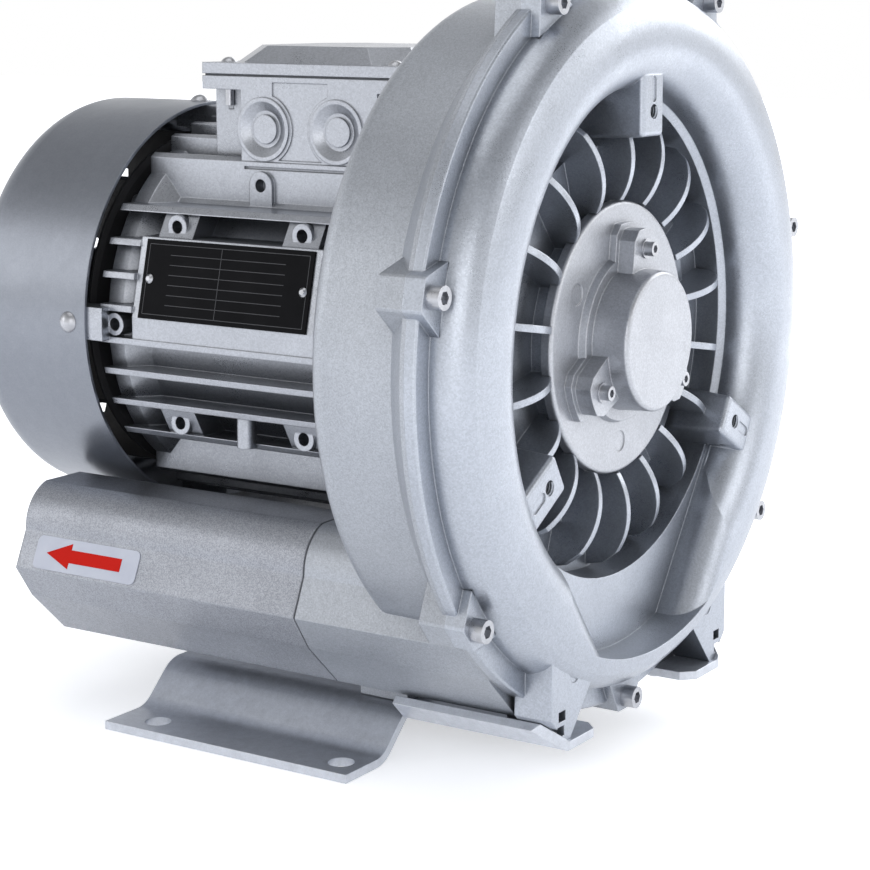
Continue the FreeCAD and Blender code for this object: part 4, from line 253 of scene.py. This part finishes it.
def sheet_paint(name, tone, rough, metal, mottle, tint, edge=0.0006):
    """Silver paint on smooth sheet steel, with fine orange peel."""
    g = Graph(name)
    body = tuple(tone * t for t in tint)
    stain = g.spread(g.noise(SHEET_STAIN_SCALE, 3.0, 0.6), 0.0, 1.0, *STAIN_RANGE)
    dark, worn_and_highlight_color = shade(body, 0.86), shade(body, 1.2, 0.05)
    base = g.blend(g.maths("MULTIPLY", stain, 0.25), body, dark)
    cells = g.cells(SHEET_FLAKE_SCALE)
    flakes = g.spread(cells.outputs["Color"], 0.95, 1.05, *FLAKE_RANGE)
    patchy = g.spread(g.noise(SHEET_MOTTLE_SCALE, 4.0, 0.7), 1.0 - mottle, 1.0 + mottle)
    base = g.times(base, g.maths("MULTIPLY", flakes, patchy))
    # Lighter edges: partly wear, partly a painted highlight
    worn_and_lit_edges = g.maths("MULTIPLY", g.edge(edge), 0.3)
    base = g.blend(worn_and_lit_edges, base, worn_and_highlight_color)
    gloss = g.spread(g.noise(SHEET_PATCH_SCALE, 3.0), rough - 0.04, rough + 0.06)
    skin = g.noise(SHEET_PEEL_SCALE, 3.0, 0.6)
    peel = g.bump(skin, SHEET_PEEL_RELIEF, 0.25 + mottle, round_edges=edge)
    return g.finish(base, gloss, metal, peel)


def turned_steel(name, tone, rough=0.28, tint=NEUTRAL):
    """Zinc plated, turned or drawn metal with faint tool marks."""
    g = Graph(name)
    body = tuple(tone * t for t in tint)
    marks = g.noise(STEEL_MARK_SCALE, 3.0, 0.6)
    tarnish = g.spread(g.noise(STEEL_TARNISH_SCALE, 2.0), 0.0, 0.5)
    dark, worn_and_highlight_color = shade(body, 0.7), shade(body, 1.3)
    base = g.blend(tarnish, body, dark)
    # Lighter edges: partly wear, partly a painted highlight
    worn_and_lit_edges = g.maths("MULTIPLY", g.edge(STEEL_WORN_AND_LIT_R), 0.5)
    base = g.blend(worn_and_lit_edges, base, worn_and_highlight_color)
    gloss = g.spread(marks, rough - 0.06, rough + 0.10)
    normal = g.bump(marks, STEEL_MARK_RELIEF, 0.3, round_edges=STEEL_ROUND_R)
    return g.finish(base, gloss, 1.0, normal)


def matt(name, color, rough, scale=600.0, height=0.0001, clouds=0.5, shine=0.5):
    """Plastic, rubber, film, ink or foam with a fine grain and faint clouds."""
    g = Graph(name)
    mark = g.noise(scale, 3.0, 0.6)
    cloudy = g.spread(g.noise(scale / 12, 3.0), 0.0, clouds)
    base = g.blend(cloudy, color, shade(color, 1.5, 0.01))
    gloss = g.spread(mark, rough - 0.08, rough + 0.08)
    normal = g.bump(mark, height, 0.5, round_edges=MATT_ROUND_R)
    return g.finish(base, gloss, 0.0, normal, Specular_IOR_Level=shine)


MATERIALS = {
    "cast_ring": silver_cast("ring_paint", 0.51, grain=0.34, rough=0.31, metal=0.85,
                             wear_and_highlight=0.45, painted_corner_shade=0.42, tint=(0.91, 0.97, 1.08)),
    "cast_casing": silver_cast("casing_paint", 0.45, grain=0.45, flake=0.13, rough=0.38, metal=0.85,
                               painted_corner_shade=0.5, speck=1900.0, tint=(0.93, 0.98, 1.07)),
    "cast_cap": silver_cast("cap_paint", 0.52, rough=0.36, metal=0.85, tint=(0.95, 0.98, 1.05)),
    "cast_motor": silver_cast("motor_paint", 0.44, grain=0.3, rough=0.30, metal=0.9,
                              painted_corner_shade=0.5, wear_and_highlight=0.5, tint=(0.94, 0.98, 1.07)),
    "silencer_paint": silver_cast("silencer_paint", 0.385, grain=0.42, flake=0.24, rough=0.38,
                                  metal=0.8, edge=0.0018, painted_corner_shade=0.75, speck=2300.0,
                                  tint=(0.94, 0.98, 1.08)),
    "sheet_paint": sheet_paint("foot_paint", 0.66, rough=0.34, metal=0.8, mottle=0.09,
                               tint=(0.94, 0.98, 1.06)),
    "cowl_paint": sheet_paint("cowl_paint", 0.28, rough=0.32, metal=0.85, mottle=0.04,
                              tint=(0.91, 0.97, 1.10)),
    "zinc_screw": turned_steel("zinc", 0.52, 0.32, (0.96, 0.98, 1.04)),
    "bearing_steel": turned_steel("bearing_steel", 0.70, 0.18),
    "shaft_steel": turned_steel("shaft_steel", 0.55, 0.30),
    "impeller_cast": silver_cast("impeller_cast", 0.60, flake=0.05),
    "laminated_steel": turned_steel("laminations", 0.30, 0.5),
    "copper_winding": turned_steel("copper", 0.60, 0.35, (1.0, 0.5, 0.25)),
    "foam": matt("foam", (0.10, 0.10, 0.11), 0.95, 500.0, 0.0006),
    "perforated_sheet": turned_steel("tube_steel", 0.55),
    "seal_rubber": matt("rubber", (0.02, 0.02, 0.02), 0.7),
    "fan_plastic": matt("fan_plastic", (0.02, 0.02, 0.022), 0.5),
    "board_plastic": matt("board_plastic", (0.03, 0.03, 0.03), 0.45),
    "stud_brass": turned_steel("brass", 0.65, 0.25, (1.0, 0.8, 0.4)),
    "nameplate_black": matt("nameplate_black", (0.004, 0.004, 0.005), 0.45, 900.0, 0.00003,
                            clouds=0.2, shine=0.06),
    "label_film": matt("label_film", (0.62, 0.64, 0.72), 0.4, 900.0, 0.00002,
                       clouds=0.2, shine=0.2),
}

for row in frame["record"]["subparts"]:
    part = frame["nodes"][row["node"]]
    part.data.materials.clear()
    part.data.materials.append(MATERIALS[row["material_slot"]])

# The machine was painted when put together, so these gaskets have paint on their edges
gasket_paint = matt("gasket_overpaint", (0.10, 0.105, 0.115), 0.6, 800.0, 0.0002, clouds=1.0)
for node in ("silencer_gaskets", "terminal_lid_gasket"):
    frame["nodes"][node].data.materials[0] = gasket_paint


# Pieces on the housing

REARWARD = Vector((0, 1, 0))
LEFTWARD = Vector((-1, 0, 0))
FACING_LEFT = 0.3


def on_housing(name, mesh, material):
    """Object of a mesh that rides on the housing, with its material and slot."""
    piece = bpy.data.objects.new(name, mesh)
    scene.collection.objects.link(piece)
    mesh.materials.append(material)
    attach(piece, "housing")
    return piece


def prism(name, outline, thickness, origin, up, out, material):
    """Thin plate with a flat outline, given in metres rearward and up from the origin."""
    mesh = bpy.data.meshes.new(name)
    flat = [origin + REARWARD * a + up * b for a, b in outline]
    count = len(flat)
    corners = flat + [p + out * thickness for p in flat]
    ends = [tuple(range(count))[::-1], tuple(range(count, 2 * count))]
    sides = [(i, (i + 1) % count, (i + 1) % count + count, i + count) for i in range(count)]
    mesh.from_pydata(corners, [], ends + sides)
    work = bmesh.new()
    work.from_mesh(mesh)
    bmesh.ops.recalc_face_normals(work, faces=work.faces)
    work.to_mesh(mesh)
    work.free()
    return on_housing(name, mesh, material)


def rounded(width, height, radius, steps=6):
    """Outline of a rectangle with round corners, about its middle."""
    points = []
    for corner, (sx, sy) in enumerate(((1, 1), (-1, 1), (-1, -1), (1, -1))):
        for step in range(steps + 1):
            angle = math.radians(90.0 * (corner + step / steps))
            points.append((sx * (width / 2 - radius) + radius * math.cos(angle),
                           sy * (height / 2 - radius) + radius * math.sin(angle)))
    return points


def face_frame(node, thickness):
    """Outward and upward directions, middle, length and height of a thin plate on the left."""
    low, high = (Vector(corner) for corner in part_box(node))
    polygons = frame["nodes"][node].data.polygons
    faces = [p for p in polygons if p.normal.dot(LEFTWARD) > FACING_LEFT]
    out = max(faces, key=lambda p: p.area).normal.copy()
    up = Vector((out.z, 0, -out.x))
    height = (high.z - low.z - abs(out.z) * thickness) / up.z
    return out, up, (low + high) / 2, high.y - low.y, height


FILM_T = 0.0004
FILM_CORNER_R = 0.003
ARROW_LENGTH = 0.046
ARROW_HEAD = 0.0148
ARROW_HEAD_H = 0.0122
ARROW_SHAFT_H = 0.0062
ARROW_REARWARD = 0.0015
ARROW_INK_T = 0.00012

label_out, label_up, label_middle, label_length, label_height = face_frame("flow_label", FILM_T)
label_back = label_middle - label_out * FILM_T / 2
film = prism("flow_label_film", rounded(label_length, label_height, FILM_CORNER_R), FILM_T,
             label_back, label_up, label_out, MATERIALS["label_film"])
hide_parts("flow_label")
tip = ARROW_LENGTH / 2
neck = tip - ARROW_HEAD
arrow = [(-tip, -ARROW_SHAFT_H / 2), (neck, -ARROW_SHAFT_H / 2), (neck, -ARROW_HEAD_H / 2),
         (tip, 0), (neck, ARROW_HEAD_H / 2), (neck, ARROW_SHAFT_H / 2), (-tip, ARROW_SHAFT_H / 2)]
arrow_red = matt("arrow_red", (0.66, 0.012, 0.005), 0.5, 700.0, 0.00003, clouds=0.08, shine=0.1)
prism("flow_arrow", arrow, ARROW_INK_T,
      label_back + label_out * FILM_T + REARWARD * ARROW_REARWARD,
      label_up, label_out, arrow_red)

PLATE_T = 0.0008
PLATE_RULE = 0.00035
PLATE_INK_T = 0.00006
PLATE_EDGE = 0.0022
PLATE_ROWS = 7
PLATE_ROW_SHARE = 0.72
PLATE_COLUMNS = {"left": 0.5, "right": -0.5, "middle": 0.04}

plate_out, plate_up, plate_middle, plate_length, plate_height = face_frame("nameplate", PLATE_T)
plate_face = plate_middle + plate_out * PLATE_T / 2
ruled_length = plate_length - 2 * PLATE_EDGE
ruled_height = plate_height - 2 * PLATE_EDGE
rule_paint = matt("plate_rules", (0.09, 0.09, 0.095), 0.4, 900.0, 0.00002, clouds=0.2, shine=0.2)


def plate_rule(name, length, height, across, up):
    """Printed line on the nameplate."""
    a, b = length / 2, height / 2
    origin = plate_face + REARWARD * across + plate_up * up
    prism(name, [(-a, -b), (a, -b), (a, b), (-a, b)], PLATE_INK_T, origin, plate_up, plate_out,
          rule_paint)


for row in range(PLATE_ROWS + 1):
    share = 1.0 if row in (0, PLATE_ROWS) else PLATE_ROW_SHARE
    level = ruled_height * (row / PLATE_ROWS - 0.5)
    plate_rule(f"plate_row_{row}", ruled_length * share, PLATE_RULE, 0.0, level)
for side, place in PLATE_COLUMNS.items():
    plate_rule(f"plate_column_{side}", PLATE_RULE, ruled_height, ruled_length * place, 0.0)

THREAD_R = 0.0034
THREAD_PITCH = 0.00125
THREAD_DEPTH = 0.0007
THREAD_TURNS = 7
THREAD_SIDES = 28
THREAD_CLEAR = 0.00001
THREAD_FLANK = 0.45 * THREAD_PITCH
ARM_FACE_Y = RIM_Y - 0.0147
ARM_COUNT = 3


def thread(name, middle, along):
    """Internal thread: a ridge that winds down the wall of a tapped hole."""
    side = along.orthogonal().normalized()
    other = along.cross(side)
    profile = ((THREAD_R - THREAD_CLEAR, -THREAD_FLANK), (THREAD_R - THREAD_DEPTH, 0.0),
               (THREAD_R - THREAD_CLEAR, THREAD_FLANK))
    work = bmesh.new()
    rings = []
    for step in range(THREAD_TURNS * THREAD_SIDES + 1):
        turn = 2 * math.pi * step / THREAD_SIDES
        down = THREAD_PITCH * (0.5 + step / THREAD_SIDES)
        outward = side * math.cos(turn) + other * math.sin(turn)
        rings.append([work.verts.new(middle + outward * r + along * (down + d))
                      for r, d in profile])
    for first, second in zip(rings, rings[1:]):
        for i in range(3):
            work.faces.new((first[i], first[(i + 1) % 3], second[(i + 1) % 3], second[i]))
    work.faces.new(rings[0])
    work.faces.new(rings[-1][::-1])
    bmesh.ops.recalc_face_normals(work, faces=work.faces)
    mesh = bpy.data.meshes.new(name)
    work.to_mesh(mesh)
    work.free()
    on_housing(name, mesh, MATERIALS["cast_ring"])


arm_bolts = next(m for m in frame["record"]["mounts"] if m["name"] == "accessory_bolts")
arm_hole_r = arm_bolts["dims"]["pcd_mm"] / 2000
for index in range(ARM_COUNT):
    turn = 2 * math.pi * index / ARM_COUNT
    hole = Vector((arm_hole_r * math.sin(turn), ARM_FACE_Y, AXIS_Z + arm_hole_r * math.cos(turn)))
    thread(f"arm_thread_{index}", hole, REARWARD)


# Camera at the photograph's place, with a small shift. Its shift is small, so that the
# views from other sides, which keep it, hold the whole object.

CAMERA_PLACE = (-0.8812, -0.6140, 0.3409)
AZIMUTH = math.radians(-58.252)
ELEVATION = math.radians(8.291)
ROLL = math.radians(0.236)
SENSOR_MM = 36.0
LENS_MM = 93.07
SHIFT = (-0.07, -0.13)

camera_data = bpy.data.cameras.new("camera")
camera_data.sensor_width = SENSOR_MM
camera_data.lens = LENS_MM
camera_data.shift_x, camera_data.shift_y = SHIFT
camera = bpy.data.objects.new("camera", camera_data)
scene.collection.objects.link(camera)
back = Vector((math.sin(AZIMUTH) * math.cos(ELEVATION), -math.cos(AZIMUTH) * math.cos(ELEVATION),
               math.sin(ELEVATION)))
turn = (-back).to_track_quat("-Z", "Y").to_matrix() @ Matrix.Rotation(ROLL, 3, "Z")
camera.matrix_world = Matrix.Translation(CAMERA_PLACE) @ turn.to_4x4()
camera_data.clip_start = 0.01
camera_data.clip_end = 50.0
scene.camera = camera


# Floor, background and lights

def seen_directly(tree):
    """1 for rays from the camera, from a gloss or through glass, 0 for light on surfaces."""
    rays = tree.nodes.new("ShaderNodeLightPath")
    value = rays.outputs["Is Camera Ray"]
    for name in ("Is Glossy Ray", "Is Transmission Ray"):
        both = tree.nodes.new("ShaderNodeMath")
        both.operation = "MAXIMUM"
        tree.links.new(value, both.inputs[0])
        tree.links.new(rays.outputs[name], both.inputs[1])
        value = both.outputs[0]
    return value


FLOOR_SIZE = 12.0
FLOOR_DROP = 0.0002
FLOOR_GLOW = 0.46
FLOOR_GLOW_FAR = 1.0
SHADOW_CORE = 0.48
SHADOW_REACH = 1.6
WORLD_FILL = 0.62
WORLD_OVERHEAD = 0.30
WORLD_FADE_FROM = 0.25
WORLD_FADE_TO = 0.85
WHITE = (1.0, 1.0, 1.0, 1.0)
COOL_FILL = (0.88, 0.92, 1.0, 1.0)

bpy.ops.mesh.primitive_plane_add(size=FLOOR_SIZE, location=(0, 0, -FLOOR_DROP))
floor = bpy.context.object
floor.name = "floor"
g = Graph("floor_white")
clouds = g.spread(g.noise(3.0, 2.0), 0.0, 1.0)
g.finish(g.blend(clouds, (0.90, 0.90, 0.905), (0.93, 0.93, 0.935)), 0.9, 0.0,
         Specular_IOR_Level=0.1, Emission_Color=WHITE)
away = g.node("ShaderNodeVectorMath", operation="LENGTH")
g.link(g.place(), away.inputs[0])
# The glow rises away from the object, so its soft shadow shows and the far floor is white
glow = g.spread(away.outputs["Value"], FLOOR_GLOW, FLOOR_GLOW_FAR, SHADOW_CORE, SHADOW_REACH)
g.link(g.maths("MULTIPLY", seen_directly(g.tree), glow), g.shader.inputs["Emission Strength"])
floor.data.materials.append(g.material)

# White where it is seen, less so overhead, and a cooler fill for the light on surfaces
world = bpy.data.worlds.new("studio")
scene.world = world
world.use_nodes = True
tree = world.node_tree
tree.nodes.clear()
out = tree.nodes.new("ShaderNodeOutputWorld")
mix = tree.nodes.new("ShaderNodeMixShader")
direction = tree.nodes.new("ShaderNodeTexCoord")
height = tree.nodes.new("ShaderNodeSeparateXYZ")
fade = tree.nodes.new("ShaderNodeMapRange")
fade.inputs["From Min"].default_value = WORLD_FADE_FROM
fade.inputs["From Max"].default_value = WORLD_FADE_TO
fade.inputs["To Min"].default_value = 1.0
fade.inputs["To Max"].default_value = WORLD_OVERHEAD
tree.links.new(direction.outputs["Generated"], height.inputs[0])
tree.links.new(height.outputs["Z"], fade.inputs["Value"])
seen = tree.nodes.new("ShaderNodeBackground")
seen.inputs["Color"].default_value = WHITE
tree.links.new(fade.outputs["Result"], seen.inputs["Strength"])
lit = tree.nodes.new("ShaderNodeBackground")
lit.inputs["Color"].default_value = COOL_FILL
lit.inputs["Strength"].default_value = WORLD_FILL
tree.links.new(seen_directly(tree), mix.inputs["Fac"])
tree.links.new(lit.outputs[0], mix.inputs[1])
tree.links.new(seen.outputs[0], mix.inputs[2])
tree.links.new(mix.outputs[0], out.inputs["Surface"])


def softbox(name, place, aim, size, power):
    """White rectangular lamp at a place, turned to its aim; metres and watts."""
    data = bpy.data.lights.new(name, "AREA")
    data.shape = "RECTANGLE"
    data.size, data.size_y = size
    data.energy = power
    lamp = bpy.data.objects.new(name, data)
    lamp.location = place
    lamp.rotation_mode = "QUATERNION"
    lamp.rotation_quaternion = (Vector(aim) - Vector(place)).to_track_quat("-Z", "Y")
    scene.collection.objects.link(lamp)


softbox("key", (1.5, -0.2, 1.0), (0, -0.1, 0.25), (2.2, 1.0), 17.0)
softbox("front", (0.35, -1.7, 0.95), (0, -0.1, 0.18), (1.0, 0.8), 4.0)
softbox("top", (-0.2, 0.1, 1.7), (0, 0, 0.2), (1.2, 1.2), 5.0)
softbox("side", (-1.5, -0.9, 0.65), (0, 0, 0.15), (0.9, 0.9), 3.5)
softbox("back", (-1.1, 1.3, 0.7), (0, 0.1, 0.15), (0.8, 0.8), 2.5)
